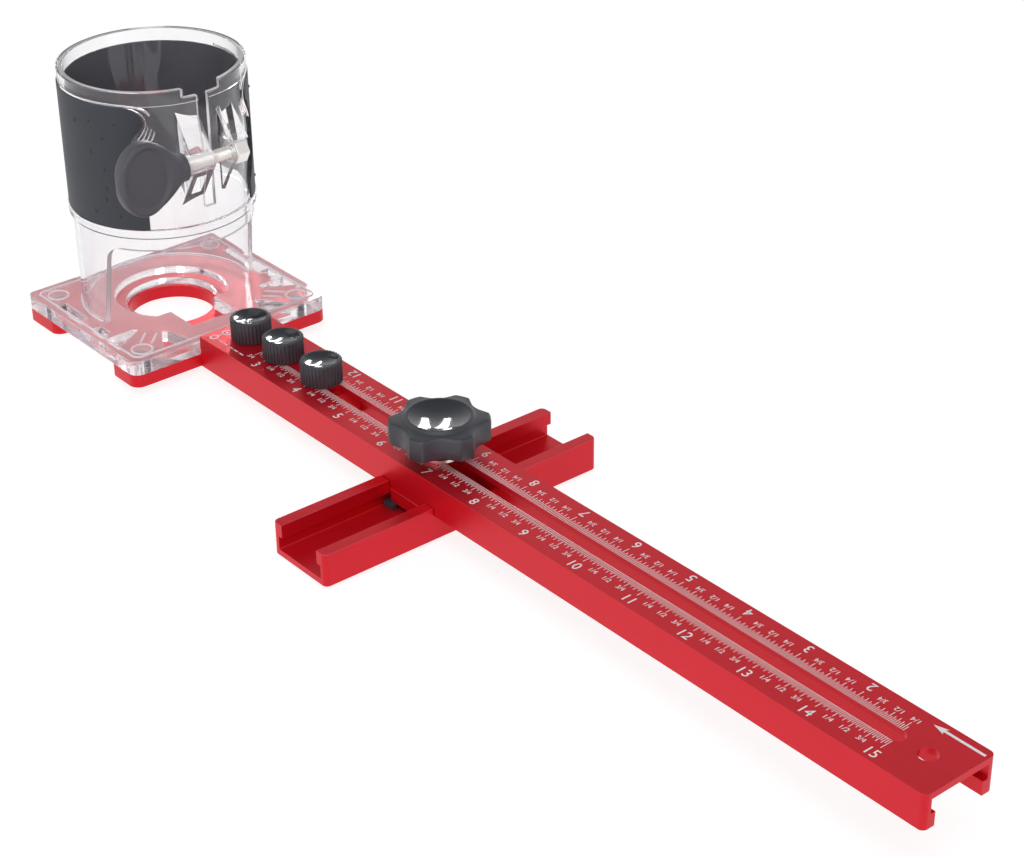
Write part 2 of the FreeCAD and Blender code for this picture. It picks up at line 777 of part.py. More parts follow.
def make_wing_knob():
    """A flat oval paddle on a round neck, which takes the end of the rod."""
    neck_face = -(ear_face + dim.seat_gap)
    oval = bound("Part::Ellipsoid", "wing_oval", Radius1=dim.wing_half_height,
                 Radius2=dim.wing_bulge, Radius3=dim.wing_half_width)
    place(oval, dim.clamp_x, -dim.wing_centre_y, dim.clamp_z)
    flat = box("wing_flat", dim.wing_thick, dim.wing_half_width * 4, dim.wing_half_height * 4,
               dim.clamp_x, -dim.wing_centre_y, dim.clamp_z - dim.wing_half_height * 2)
    paddle = overlap("wing_paddle", oval, flat)
    neck = cylinder("wing_neck", dim.wing_neck, dim.wing_neck_length,
                    dim.clamp_x, neck_face - dim.wing_neck_length, dim.clamp_z, along="y")
    flare = new_body("wing_flare")
    outline = new_sketch(flare, "outline", "YZ_Plane", dim.clamp_x - dim.wing_thick / 2)
    neck_end = neck_face - dim.wing_neck_length
    steps = [(neck_end, dim.wing_neck), (-dim.wing_flare_y, dim.wing_flare),
             (-dim.wing_spread_y, dim.wing_spread)]
    steps += [(y, -reach) for y, reach in reversed(steps)]
    draw_outline(outline, [(y, dim.clamp_z + reach) for y, reach in steps])
    pad(flare, outline, dim.wing_thick)
    socket = cylinder("wing_socket", dim.rod_radius, dim.rod_in - dim.seat_gap,
                      dim.clamp_x, -(ear_face + dim.rod_in), dim.clamp_z, along="y")
    subtract("wing_knob", union("wing_solid", paddle, neck, flare), socket)


def make_thumb_knob(index, x):
    """A fluted thumb knob, its dished cap and the stud that it turns."""
    body = new_body(f"thumb_knob_{index}")
    place(body, x, 0, knob_seat)
    profile = new_sketch(body, "profile", "XZ_Plane")
    cap_radius = dim.thumb_radius - dim.thumb_rim
    recess = dim.thumb_height - dim.thumb_recess
    draw_outline(profile, [
        (dim.stud_radius, 0), (dim.thumb_radius, 0), (dim.thumb_radius, dim.thumb_height),
        (cap_radius, dim.thumb_height), (cap_radius, recess), (0, recess),
        (0, dim.stud_grip), (dim.stud_radius, dim.stud_grip),
    ])
    spin(body, profile)
    flute = new_sketch(body, "flute", "XY_Plane")
    draw_circle(flute, dim.thumb_radius + dim.flute_radius / 3, 0, dim.flute_radius)
    groove = cut(body, flute, dim.thumb_height - dim.flute_head, forward=True)
    repeat(body, groove, dim.thumb_flutes)

    make_cap(f"thumb_cap_{index}", cap_radius, dim.thumb_recess, dim.thumb_dish, x, knob_seat + recess)
    cylinder(f"thumb_stud_{index}", dim.stud_radius, knob_seat + dim.stud_grip - dim.stud_foot,
             x, 0, dim.stud_foot)


def make_cap(label, radius, depth, dish, x, z):
    """A disc that fills a knob's recess, its top a shallow dish."""
    disc = cylinder(f"{label}_disc", radius, depth, x, 0, z)
    bulge = (radius * radius + dish * dish) / (dish * 2)
    ball = bound("Part::Sphere", f"{label}_ball", Radius=bulge)
    place(ball, x, 0, z + depth - dish + bulge)
    subtract(label, disc, ball)


def make_star_knob():
    """The six-lobed knob that locks the fence, with its insert, cap and washer."""
    body = new_body("star_knob")
    place(body, dim.fence_x, 0, hub_foot)
    body.Placement.Rotation = FreeCAD.Rotation(FreeCAD.Vector(0, 0, 1), dim.star_turn.number)
    top = dim.hub_height + dim.star_height
    edge_top = top - dim.star_fall
    recess = top - dim.star_recess
    across = dim.insert_flats / (2 * math.cos(math.pi / 6))
    profile = new_sketch(body, "profile", "XZ_Plane")
    draw_outline(profile, [
        (0, 0), (dim.hub_radius, 0), (dim.hub_radius, dim.hub_height),
        (dim.star_radius, dim.hub_height), (dim.star_radius, edge_top),
        (dim.star_lip, edge_top), (dim.star_lip, top),
        (dim.star_cap_radius, top), (dim.star_cap_radius, recess), (0, recess),
    ])
    spin(body, profile)
    valley = new_sketch(body, "valley", "XY_Plane", dim.hub_height)
    half_pitch = math.pi / SIZES["star_lobes"]
    reach = dim.star_valley + dim.valley_radius
    draw_circle(valley, reach * math.cos(half_pitch), reach * math.sin(half_pitch), dim.valley_radius)
    scoop = cut(body, valley, dim.star_height, forward=True)
    repeat(body, scoop, dim.star_lobes)

    def is_lobe_corner(edge):
        middle = edge_middle(edge)
        reach = math.hypot(middle.x, middle.y)
        return is_upright(edge) and abs(reach - dim.star_radius.number) < 1e-3
    round_edges(body, dim.lobe_corner, is_lobe_corner)
    seat = new_sketch(body, "insert_seat", "XY_Plane")
    draw_hexagon(seat, across)
    cut(body, seat, dim.insert_height, forward=True)

    insert = new_body("star_insert")
    place(insert, dim.fence_x, 0, hub_foot)
    insert.Placement.Rotation = FreeCAD.Rotation(FreeCAD.Vector(0, 0, 1), dim.star_turn.number)
    section = new_sketch(insert, "section", "XY_Plane")
    draw_hexagon(section, across)
    draw_circle(section, 0, 0, dim.fence_bolt_radius + dim.stud_gap)
    pad(insert, section, dim.insert_height)

    make_cap("star_cap", dim.star_cap_radius, dim.star_recess, dim.star_dish, dim.fence_x,
             hub_foot + recess)

    disc = cylinder("washer_disc", dim.washer_radius, dim.washer_thick, dim.fence_x, 0, knob_seat)
    hole = cylinder("washer_hole", dim.fence_bolt_radius + dim.rod_gap, dim.washer_thick,
                    dim.fence_x, 0, knob_seat)
    subtract("star_washer", disc, hole)


def draw_hexagon(sketch, radius):
    draw_outline(sketch, [
        (radius * math.cos(math.pi / 3 * step), radius * math.sin(math.pi / 3 * step))
        for step in range(6)
    ])


def make_fence():
    """The cross channel, and the bolt, block and pad that sit in it."""
    body = new_body("fence_channel")
    section = new_sketch(body, "section", "XZ_Plane", dim.fence_shift - half_fence)
    draw_channel(section, dim.fence_x, dim.fence_top, fence_foot, -1)
    pad(body, section, dim.fence_length)
    seat = new_sketch(body, "bar_seat", "XY_Plane", dim.fence_top)
    half_seat = half_bar + dim.fence_notch_gap
    half_width = half_bar + dim.bar_wall
    draw_rectangle(seat, dim.fence_x - half_width, dim.fence_x + half_width, -half_seat, half_seat)
    cut(body, seat, dim.fence_top + dim.seat_gap)

    def is_end_corner(edge):
        middle = edge_middle(edge)
        end = abs(abs(middle.y + dim.fence_shift.number) - half_fence.number) < 1e-3
        outer = abs(abs(middle.x - dim.fence_x.number) - half_bar.number) < 1e-3
        return is_upright(edge) and end and outer
    round_edges(body, end_round, is_end_corner)

    head = box("fence_bolt_head", dim.fence_head_width, dim.fence_head_length,
               dim.fence_head_thick, dim.fence_x, 0, fence_floor)
    shank_foot = fence_floor + dim.fence_head_thick / 2
    shank = cylinder("fence_bolt_shank", dim.fence_bolt_radius, fence_bolt_top - shank_foot,
                     dim.fence_x, 0, shank_foot)
    union("fence_bolt", head, shank)

    block_foot = fence_floor + dim.fence_head_thick
    block = box("fence_block_body", dim.block_width, dim.bar_width,
                -(block_foot + dim.block_gap + dim.seat_gap), dim.fence_x, 0, block_foot)
    hole = cylinder("fence_block_hole", dim.fence_bolt_radius + dim.stud_gap, dim.bar_height,
                    dim.fence_x, 0, block_foot)
    subtract("fence_block", block, hole)
    pad_x = dim.fence_x - channel + dim.tongue_gap + dim.pad_width / 2
    box("fence_pad", dim.pad_width, dim.pad_length, dim.fence_head_thick, pad_x, 0, fence_floor)


make_main_bar()
make_router_plate()
make_clear_base()
make_grip()
make_base_screws()
make_clamp()
for number, place_x in enumerate(knob_places, 1):
    make_thumb_knob(number, place_x)
make_star_knob()
make_fence()
doc.recompute()

NODES = ["main_bar", "router_plate", "clear_base", "grip_sleeve", "base_screws"]
NODES += ["clamp_rod", "clamp_nut", "wing_knob"]
for number in (1, 2, 3):
    NODES += [f"thumb_knob_{number}", f"thumb_cap_{number}", f"thumb_stud_{number}"]
NODES += ["star_knob", "star_insert", "star_cap", "star_washer"]
NODES += ["fence_channel", "fence_bolt", "fence_block", "fence_pad"]

for item in doc.Objects:
    check_built(item)
os.makedirs("parts", exist_ok=True)
for node in NODES:
    part = doc.getObjectsByLabel(node)[0]
    if part.Shape.isNull() or not part.Shape.isValid():
        raise ValueError(f"{node} has no valid shape")
for node in NODES:
    doc.getObjectsByLabel(node)[0].Shape.exportStep(f"parts/{node}.step")
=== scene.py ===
import math

import bmesh
import bpy
from mathutils import Matrix, Quaternion, Vector


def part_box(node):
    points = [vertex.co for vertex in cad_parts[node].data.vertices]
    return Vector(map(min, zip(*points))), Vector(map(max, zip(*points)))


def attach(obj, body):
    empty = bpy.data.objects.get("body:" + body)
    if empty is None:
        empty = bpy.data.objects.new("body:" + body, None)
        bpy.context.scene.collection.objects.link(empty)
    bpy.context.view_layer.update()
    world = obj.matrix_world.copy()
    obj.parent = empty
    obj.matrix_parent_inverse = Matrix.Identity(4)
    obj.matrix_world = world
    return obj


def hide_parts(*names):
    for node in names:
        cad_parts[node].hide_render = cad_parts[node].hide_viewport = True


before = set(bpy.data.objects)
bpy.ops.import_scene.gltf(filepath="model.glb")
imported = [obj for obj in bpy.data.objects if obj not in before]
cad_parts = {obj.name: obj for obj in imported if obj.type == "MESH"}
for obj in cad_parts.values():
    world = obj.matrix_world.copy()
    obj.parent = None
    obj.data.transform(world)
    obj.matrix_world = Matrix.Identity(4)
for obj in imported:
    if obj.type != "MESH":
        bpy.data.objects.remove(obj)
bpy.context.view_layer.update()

# Main bar: a red anodised aluminium extrusion, an inverted C with a long slot,
# three knob holes and a pivot hole. It is sawn to length, its ends are rounded
# on a belt and the whole is blasted and dyed, so its edges catch the light.
# Its eased edges are painted a lighter red, partly wear and partly a painted
# highlight.
MM = 0.001
INCH = 25.4 * MM
RED_DYE = (0.80, 0.012, 0.028, 1)
RED_DEEP = (0.62, 0.006, 0.018, 1)
# The edges' lighter red: partly wear, partly a painted highlight.
RED_WORN_AND_HIGHLIT = (0.88, 0.12, 0.15, 1)


class Term:
    """A socket of a node tree whose arithmetic adds Math nodes behind it."""

    def __init__(self, bench, socket):
        self.bench = bench
        self.socket = socket

    def math(self, operation, *values):
        settings = {"operation": operation}
        return self.bench.node("ShaderNodeMath", settings, dict(enumerate(values)))

    def __add__(self, other):
        return self.math("ADD", self, other)

    def __radd__(self, other):
        return self.math("ADD", other, self)

    def __sub__(self, other):
        return self.math("SUBTRACT", self, other)

    def __rsub__(self, other):
        return self.math("SUBTRACT", other, self)

    def __mul__(self, other):
        return self.math("MULTIPLY", self, other)

    def __rmul__(self, other):
        return self.math("MULTIPLY", other, self)

    def __truediv__(self, other):
        return self.math("DIVIDE", self, other)

    def __mod__(self, other):
        return self.math("FLOORED_MODULO", self, other)

    def __gt__(self, other):
        return self.math("GREATER_THAN", self, other)

    def also(self, name):
        """Another output of the node that this socket belongs to."""
        return Term(self.bench, self.socket.node.outputs[name])


class Bench:
    """A node tree, with one way to put a node in it."""

    def __init__(self, tree):
        self.tree = tree

    def node(self, kind, settings=None, inputs=None, output=0):
        made = self.tree.nodes.new(kind)
        for name, value in (settings or {}).items():
            if name == "stops":
                ramp = made.color_ramp.elements
                while len(ramp) < len(value):
                    ramp.new(0.5)
                for stop, (position, colour) in zip(ramp, value):
                    stop.position = position
                    stop.color = colour
            else:
                setattr(made, name, value)
        for key, value in (inputs or {}).items():
            if isinstance(value, Term):
                self.tree.links.new(value.socket, made.inputs[key])
            else:
                made.inputs[key].default_value = value
        return Term(self, made.outputs[output])

    def blend(self, share, one, other):
        """A colour between two colours."""
        settings = {"data_type": "RGBA"}
        return self.node("ShaderNodeMix", settings, {0: share, 6: one, 7: other}, 2)

    def stretched(self, x, y, z):
        """Object coordinates, multiplied along X, Y and Z."""
        place = self.node("ShaderNodeTexCoord", output="Object")
        settings = {"operation": "MULTIPLY"}
        return self.node("ShaderNodeVectorMath", settings, {0: place, 1: (x, y, z)})

    def cloud(self, vector, scale, detail=2, roughness=0.5):
        inputs = {"Vector": vector, "Scale": scale, "Detail": detail, "Roughness": roughness}
        return self.node("ShaderNodeTexNoise", None, inputs)

    def relief(self, height, depth, strength=1.0):
        """A bump of a real depth from heights of 0 to 1."""
        inputs = {"Height": height, "Distance": depth, "Strength": strength}
        return self.node("ShaderNodeBump", None, inputs)


class Finish(Bench):
    """A material with one surface shader."""

    def __init__(self, name):
        self.material = bpy.data.materials.new(name)
        self.material.use_nodes = True
        self.material.node_tree.nodes.clear()
        super().__init__(self.material.node_tree)

    def surface(self, **inputs):
        named = {name.replace("_", " "): value for name, value in inputs.items()}
        shader = self.node("ShaderNodeBsdfPrincipled", None, named)
        return self.close(shader)

    def close(self, shader):
        """End the tree in a shader."""
        end = self.tree.nodes.new("ShaderNodeOutputMaterial")
        self.tree.links.new(shader.socket, end.inputs["Surface"])
        return self.material


FINE_GRAIN = 900
LONG_GRAIN = 12


def anodised(name, grain_x, grain_y, worn_and_highlit=False):
    """Red dyed aluminium, with faint lines that run along the axis whose grain is long.
    Its edges' version is painted lighter, partly wear and partly a painted highlight.
    """
    finish = Finish(name)
    lines = finish.cloud(finish.stretched(grain_x, grain_y, FINE_GRAIN), 1.0, 3, 0.6)
    blast = finish.cloud(finish.stretched(1, 1, 1), 5200, 2)
    patches = finish.cloud(finish.stretched(1, 1, 1), 60, 3)
    shade = lines * 0.55 + patches * 0.45
    base = finish.blend(shade, RED_DEEP, RED_DYE)
    # Edges: a lighter red in patches, partly wear and partly a painted highlight.
    if worn_and_highlit:
        base = finish.blend(0.25 + patches * 0.4, base, RED_WORN_AND_HIGHLIT)
    height = lines * 0.35 + blast * 0.65
    return finish.surface(
        Base_Color=base,
        Metallic=0.55,
        Roughness=0.30 + shade * 0.16 - (0.06 if worn_and_highlit else 0.0),
        Normal=finish.relief(height, 0.012 * MM, 0.5),
        Specular_IOR_Level=0.5,
    )


bar_finish = anodised("red_bar", LONG_GRAIN, FINE_GRAIN)
bar_edges = anodised("red_bar_edges", LONG_GRAIN, FINE_GRAIN, worn_and_highlit=True)


def add_piece(name, mesh, *finishes):
    """An object of a mesh, with its finishes in the order of their numbers on the mesh."""
    piece = bpy.data.objects.new(name, mesh)
    bpy.context.scene.collection.objects.link(piece)
    mesh.materials.clear()
    for finish in finishes:
        mesh.materials.append(finish)
    return piece


JOIN_REACH = 0.002 * MM
FLAT_ANGLE = math.radians(0.4)
EDGE_ANGLE = math.radians(32)
EDGE_STEPS = 2


def joined_mesh(node):
    """A CAD node's shape with its loose triangles joined and its flat faces whole."""
    shape = bmesh.new()
    shape.from_mesh(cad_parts[node].data)
    bmesh.ops.remove_doubles(shape, verts=shape.verts, dist=JOIN_REACH)
    bmesh.ops.dissolve_limit(shape, angle_limit=FLAT_ANGLE, verts=shape.verts, edges=shape.edges)
    shape.verts.index_update()
    corners = [vert.co[:] for vert in shape.verts]
    faces = [[vert.index for vert in face.verts] for face in shape.faces]
    shape.free()
    mesh = bpy.data.meshes.new(node + "_shape")
    mesh.from_pydata(corners, [], faces)
    mesh.shade_smooth()
    return mesh


def eased(node, name, finish, edge_finish, edge):
    """A CAD node's shape with its sharp edges eased to a width."""
    piece = add_piece(name, joined_mesh(node), finish, edge_finish)
    bevel = piece.modifiers.new("eased_edges", "BEVEL")
    bevel.width = edge
    bevel.segments = EDGE_STEPS
    bevel.limit_method = "ANGLE"
    bevel.angle_limit = EDGE_ANGLE
    bevel.material = 1
    bevel.harden_normals = True
    bevel.miter_outer = "MITER_ARC"
    piece.data.set_sharp_from_angle(angle=EDGE_ANGLE)
    return piece


main_bar = eased("main_bar", "bar_extrusion", bar_finish, bar_edges, edge=0.22 * MM)
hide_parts("main_bar")
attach(main_bar, "root")

# Scales of the bar: white ink printed on its top face and baked on. Two rows
# of inch marks run in opposite senses, with numbers, fractions, an arrow, and
# the sign for the cutter's centre with its dashed line at the router's end.
bar_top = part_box("main_bar")[1].z
SLOT_HALF = 3.0 * MM
INK_THICK = 0.02 * MM
INK_WHITE = (0.98, 0.96, 0.96, 1)
INK_DIM = (0.90, 0.86, 0.87, 1)

ink = Finish("white_ink")
ink_cloud = ink.cloud(ink.stretched(1, 1, 1), 2600, 3)
ink_finish = ink.surface(
    Base_Color=ink.blend(ink_cloud, INK_DIM, INK_WHITE),
    Roughness=0.42 + ink_cloud * 0.2,
    Normal=ink.relief(ink_cloud, 0.01 * MM, 0.4),
)


class Growth(Bench):
    """A geometry tree that grows a mesh from its named inputs."""

    def __init__(self, name, **inputs):
        super().__init__(bpy.data.node_groups.new(name, "GeometryNodeTree"))
        sockets = self.tree.interface
        for label, kind in inputs.items():
            sockets.new_socket(label, in_out="INPUT", socket_type="NodeSocket" + kind)
        sockets.new_socket("Mesh", in_out="OUTPUT", socket_type="NodeSocketGeometry")
        self.given = self.node("NodeGroupInput")

    def vector(self, x=0.0, y=0.0, z=0.0):
        """Three numbers or sockets as one vector."""
        return self.node("ShaderNodeCombineXYZ", None, {0: x, 1: y, 2: z})

    def close(self, instances, finish, smooth=False):
        """Make the instances real, give them their finish and end the tree."""
        solid = self.node("GeometryNodeRealizeInstances", None, {"Geometry": instances})
        if smooth:
            solid = self.node("GeometryNodeSetShadeSmooth", None, {"Geometry": solid})
        painted = self.node("GeometryNodeSetMaterial", None, {"Geometry": solid, "Material": finish})
        end = self.tree.nodes.new("NodeGroupOutput")
        self.tree.links.new(painted.socket, end.inputs[0])

    def grown(self, name, places=None, **values):
        """The plain mesh that the tree grows, on a mesh of places where it takes one."""
        seed = bpy.data.objects.new(name + "_seed", places or bpy.data.meshes.new(name + "_seed"))
        bpy.context.scene.collection.objects.link(seed)
        grow = seed.modifiers.new("grow", "NODES")
        grow.node_group = self.tree
        for item in self.tree.interface.items_tree:
            if item.in_out == "INPUT" and item.name in values:
                grow[item.identifier] = values[item.name]
        bpy.context.view_layer.update()
        ready = seed.evaluated_get(bpy.context.evaluated_depsgraph_get())
        mesh = bpy.data.meshes.new_from_object(ready)
        mesh.name = name
        seed.modifiers.clear()
        bpy.data.objects.remove(seed)
        return mesh


# One row of marks, thirty-two to the inch, each as long as its place asks for.
MARKS_PER_INCH = 32
MARK_WIDTH = 0.24 * MM
marks = Growth("row_of_marks", First="Float", Step="Float", Edge="Float", Turn="Float", Phase="Float",
               Count="Int", Short="Float", Sixteenth="Float", Eighth="Float", Quarter="Float",
               Whole="Float")
sizes = marks.given
start = marks.vector(sizes.also("First"), sizes.also("Edge"), bar_top + INK_THICK / 2)
row = marks.node("GeometryNodeMeshLine", {"mode": "OFFSET"}, {
    "Count": sizes.also("Count"), "Start Location": start, "Offset": marks.vector(sizes.also("Step"))})
place = marks.node("GeometryNodeInputIndex") + sizes.also("Phase")
reach = sizes.also("Short")
for every, name in ((2, "Sixteenth"), (4, "Eighth"), (8, "Quarter"), (32, "Whole")):
    on_mark = 1 - (place % every).math("MINIMUM", place % every, 1)
    reach = reach + on_mark * sizes.also(name)
stroke = marks.node("GeometryNodeMeshCube", None, {"Size": (MARK_WIDTH, 1.0, INK_THICK)})
stroke = marks.node("GeometryNodeTransform", None, {"Geometry": stroke, "Translation": (0, 0.5, 0)})
placed = marks.node("GeometryNodeInstanceOnPoints", None, {
    "Points": row, "Instance": stroke, "Rotation": marks.vector(z=sizes.also("Turn")),
    "Scale": marks.vector(1.0, reach, 1.0)})
marks.close(placed, ink_finish)


def row_of_marks(name, zero, way, first, last, **lengths):
    """Marks beside the slot, from the first to the last inch past a zero, in a sense of 1 or -1."""
    step = way * INCH / MARKS_PER_INCH
    skipped = round(first * MARKS_PER_INCH)
    return marks.grown(name, First=zero + skipped * step, Step=step, Edge=-way * SLOT_HALF,
                       Turn=math.pi if way > 0 else 0.0, Phase=float(skipped % MARKS_PER_INCH),
                       Count=round(last * MARKS_PER_INCH) - skipped + 1, Sixteenth=0.85 * MM, **lengths)


NEAR_ZERO = -1.5 * MM
NEAR_FIRST = 2.75
NEAR_LAST = 15
FAR_ZERO = 409 * MM
FAR_FIRST = 39 / 32
FAR_LAST = 12
near_marks = row_of_marks("near_marks", NEAR_ZERO, 1, NEAR_FIRST, NEAR_LAST, Short=2.3 * MM,
                          Eighth=0.5 * MM, Quarter=0.8 * MM, Whole=0.45 * MM)
far_marks = row_of_marks("far_marks", FAR_ZERO, -1, FAR_FIRST, FAR_LAST, Short=2.5 * MM,
                         Eighth=0.55 * MM, Quarter=0.75 * MM, Whole=0.6 * MM)

print_shape = bmesh.new()
for mesh in (near_marks, far_marks):
    print_shape.from_mesh(mesh)

LETTER_THICK = 0.02


def print_words(words, x, y, height, width=None, turned=False, fat=0.0):
    """Print words of a given height, centred on a point of the bar's top face."""
    text = bpy.data.curves.new("scale_words", "FONT")
    text.body = words
    text.resolution_u = 4
    text.extrude = LETTER_THICK / 2
    text.offset = fat
    holder = bpy.data.objects.new("scale_words", text)
    bpy.context.scene.collection.objects.link(holder)
    bpy.context.view_layer.update()
    mesh = bpy.data.meshes.new_from_object(holder.evaluated_get(bpy.context.evaluated_depsgraph_get()))
    bpy.data.objects.remove(holder)
    xs = [vert.co.x for vert in mesh.vertices]
    ys = [vert.co.y for vert in mesh.vertices]
    tall = height / (max(ys) - min(ys))
    wide = width / (max(xs) - min(xs)) if width else tall
    centre = Matrix.Translation((-(max(xs) + min(xs)) / 2, -(max(ys) + min(ys)) / 2, 0))
    size = Matrix.Diagonal((wide, tall, INK_THICK / LETTER_THICK, 1))
    turn = Matrix.Rotation(math.pi if turned else 0.0, 4, "Z")
    spot = Matrix.Translation((x, y, bar_top + INK_THICK / 2))
    mesh.transform(spot @ turn @ size @ centre)
    print_shape.from_mesh(mesh)
    bpy.data.meshes.remove(mesh)


def print_flat(outline):
    """Print a filled outline given by its corners, anticlockwise from above."""
    low = [print_shape.verts.new((x, y, bar_top)) for x, y in outline]
    high = [print_shape.verts.new((x, y, bar_top + INK_THICK)) for x, y in outline]
    print_shape.faces.new(high)
    print_shape.faces.new(low[::-1])
    for at in range(len(outline)):
        nxt = (at + 1) % len(outline)
        print_shape.faces.new((low[at], low[nxt], high[nxt], high[at]))


def print_stroke(x, y, length, width):
    """Print a straight stroke along X from its low corner."""
    print_flat([(x, y), (x + length, y), (x + length, y + width), (x, y + width)])


RING_SIDES = 40


def print_ring(x, y, outer, inner, tall=1.0):
    """Print a ring, or a tall oval one."""
    for turn in range(RING_SIDES):
        corners = []
        for at, radius in ((turn, outer), (turn + 1, outer), (turn + 1, inner), (turn, inner)):
            angle = 2 * math.pi * at / RING_SIDES
            corners.append((x + radius * math.cos(angle), y + radius * math.sin(angle) * tall))
        print_flat(corners)


NUMBER_HEIGHT = 3.75 * MM
NUMBER_FAT = 0.003
NEAR_NUMBERS = -11.15 * MM
FAR_NUMBERS = 11.5 * MM
for inch in range(3, NEAR_LAST + 1):
    print_words(str(inch), NEAR_ZERO + inch * INCH, NEAR_NUMBERS, NUMBER_HEIGHT, fat=NUMBER_FAT)
for inch in range(2, FAR_LAST + 1):
    print_words(str(inch), FAR_ZERO - inch * INCH, FAR_NUMBERS, NUMBER_HEIGHT, turned=True,
                fat=NUMBER_FAT)

FRACTIONS = ((0.25, "1/4"), (0.5, "1/2"), (0.75, "3/4"))
FRACTION_HEIGHT = 1.95 * MM
FRACTION_WIDTH = 3.0 * MM
NEAR_FRACTIONS = -9.0 * MM
FAR_FRACTIONS = 9.3 * MM
for inch in range(2, NEAR_LAST):
    for part, words in FRACTIONS:
        if inch + part >= NEAR_FIRST:
            print_words(words, NEAR_ZERO + (inch + part) * INCH, NEAR_FRACTIONS, FRACTION_HEIGHT,
                        FRACTION_WIDTH)
for inch in range(1, FAR_LAST):
    for part, words in FRACTIONS:
        print_words(words, FAR_ZERO - (inch + part) * INCH, FAR_FRACTIONS, FRACTION_HEIGHT,
                    FRACTION_WIDTH, turned=True)

# An arrow to the router, the sign of a nought over a ringed dot, and five dashes.
ARROW_Y = 11.6 * MM
SIGN_X = 46.7 * MM
SIGN_DOT_Y = -5.1 * MM
print_flat([(x * MM, ARROW_Y + y * MM) for x, y in (
    (382.0, 0), (386.7, -1.45), (386.1, -0.5), (401.2, -0.5), (401.2, 0.5), (386.1, 0.5),
    (386.7, 1.45))])
print_ring(46.6 * MM, -10.75 * MM, 1.6 * MM, 1.0 * MM, tall=1.2)
print_ring(SIGN_X, SIGN_DOT_Y, 2.05 * MM, 1.5 * MM)
print_ring(SIGN_X, SIGN_DOT_Y, 0.55 * MM, 0.05 * MM)
print_stroke(46.4 * MM, -8.85 * MM, 0.5 * MM, 1.75 * MM)
for dash in range(5):
    print_stroke((49.6 + 3.42 * dash) * MM, -11.1 * MM, 2.6 * MM, 0.5 * MM)


def shape_mesh(shape, name):
    """The mesh of a finished shape, in one finish."""
    mesh = bpy.data.meshes.new(name)
    shape.to_mesh(mesh)
    shape.free()
    mesh.polygons.foreach_set("material_index", [0] * len(mesh.polygons))
    return mesh


scale_print = add_piece("scale_print", shape_mesh(print_shape, "scale_print"), ink_finish)
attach(scale_print, "root")

# Router plate: a red plate under the clear base, with a hole for the cutter, a
# notch in each side and the tongue that the bar slides over. It is milled from
# the same alloy as the bar and dyed with it.
EVEN_GRAIN = 500
plate_finish = anodised("red_plate", EVEN_GRAIN, EVEN_GRAIN)
plate_edges = anodised("red_plate_edges", EVEN_GRAIN, EVEN_GRAIN, worn_and_highlit=True)
router_plate = eased("router_plate", "plate_with_tongue", plate_finish, plate_edges, edge=0.3 * MM)
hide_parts("router_plate")
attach(router_plate, "root")

# Clear base: one clear moulding, a ribbed plate that carries the split sleeve
# for the router's motor, with its rim, its clamp ears and the open window.
# Polished tools leave it glossy, and the thick melt is faintly milky. Its eased
# edges take a milkier white finish, which is a painted highlight.
PLATE_BELOW = 11.5 * MM
PLATE_FACE = 9.9 * MM
EARS_ABOVE = 57.0 * MM
EARS_OUTSIDE = 36.0 * MM
WALL_INNER = 32.65 * MM
WALL_OUTER = 34.15 * MM
CLEAR_FACING = (0.985, 0.978, 0.985, 1)
# Grey for faces seen edge-on: painted shade.
CLEAR_EDGE_ON_SHADE = (0.70, 0.70, 0.74, 1)


def clear_plastic(name, sleeve, plate, top, ears, cut):
    """Clear plastic, with a milky share for the sleeve, plate, plate's top, ears and sleeve's cut faces.
    The share on the plate's top faces is a painted sheen.
    """
    clear = Finish(name)
    waves = clear.cloud(clear.stretched(1, 1, 0.35), 70, 2)
    # Faces seen edge-on are painted greyer, a painted shade.
    facing = clear.node("ShaderNodeLayerWeight", None, {"Blend": 0.5}, output="Facing")
    edge_on_shade = facing.math("POWER", facing, 2.6)
    body = clear.node("ShaderNodeBsdfPrincipled", None, {
        "Base Color": clear.blend(edge_on_shade, CLEAR_FACING, CLEAR_EDGE_ON_SHADE),
        "Roughness": 0.015 + waves * 0.05,
        "IOR": 1.36,
        "Transmission Weight": 1.0,
        "Normal": clear.relief(waves, 0.15 * MM, 0.25),
    })
    face = clear.node("ShaderNodeBsdfDiffuse", None, {"Color": (0.92, 0.89, 0.91, 1)})
    depth = clear.node("ShaderNodeBsdfTranslucent", None, {"Color": (0.90, 0.84, 0.87, 1)})
    milk = clear.node("ShaderNodeMixShader", None, {0: 0.4, 1: face, 2: depth})
    height = clear.node("ShaderNodeSeparateXYZ", None, {0: clear.stretched(1, 1, 1)}, output="Z")
    in_plate = 1.0 - (height > PLATE_BELOW)
    # The plate's top faces are painted milkier: a painted sheen.
    top_sheen_mask = in_plate * (height > PLATE_FACE)
    in_ears = (height > EARS_ABOVE) * (height.also("X") > EARS_OUTSIDE)
    radius = clear.node("ShaderNodeVectorMath", {"operation": "LENGTH"}, {0: clear.stretched(1, 1, 0)},
                        output="Value")
    on_cut = (radius > WALL_INNER) * (1.0 - (radius > WALL_OUTER)) * (1.0 - in_plate)
    milky = sleeve + in_plate * plate + top_sheen_mask * top + in_ears * ears + on_cut * cut + waves * 0.03
    cloudy = clear.node("ShaderNodeMixShader", None, {0: milky, 1: body, 2: milk})
    lamp_ray = clear.node("ShaderNodeLightPath", output="Is Shadow Ray")
    lets_through = clear.node("ShaderNodeBsdfTransparent", None, {"Color": (0.84, 0.82, 0.85, 1)})
    return clear.close(clear.node("ShaderNodeMixShader", None, {0: lamp_ray, 1: cloudy, 2: lets_through}))


clear_finish = clear_plastic("clear_plastic", sleeve=0.005, plate=0.05, top=0.30, ears=0.12, cut=0.60)
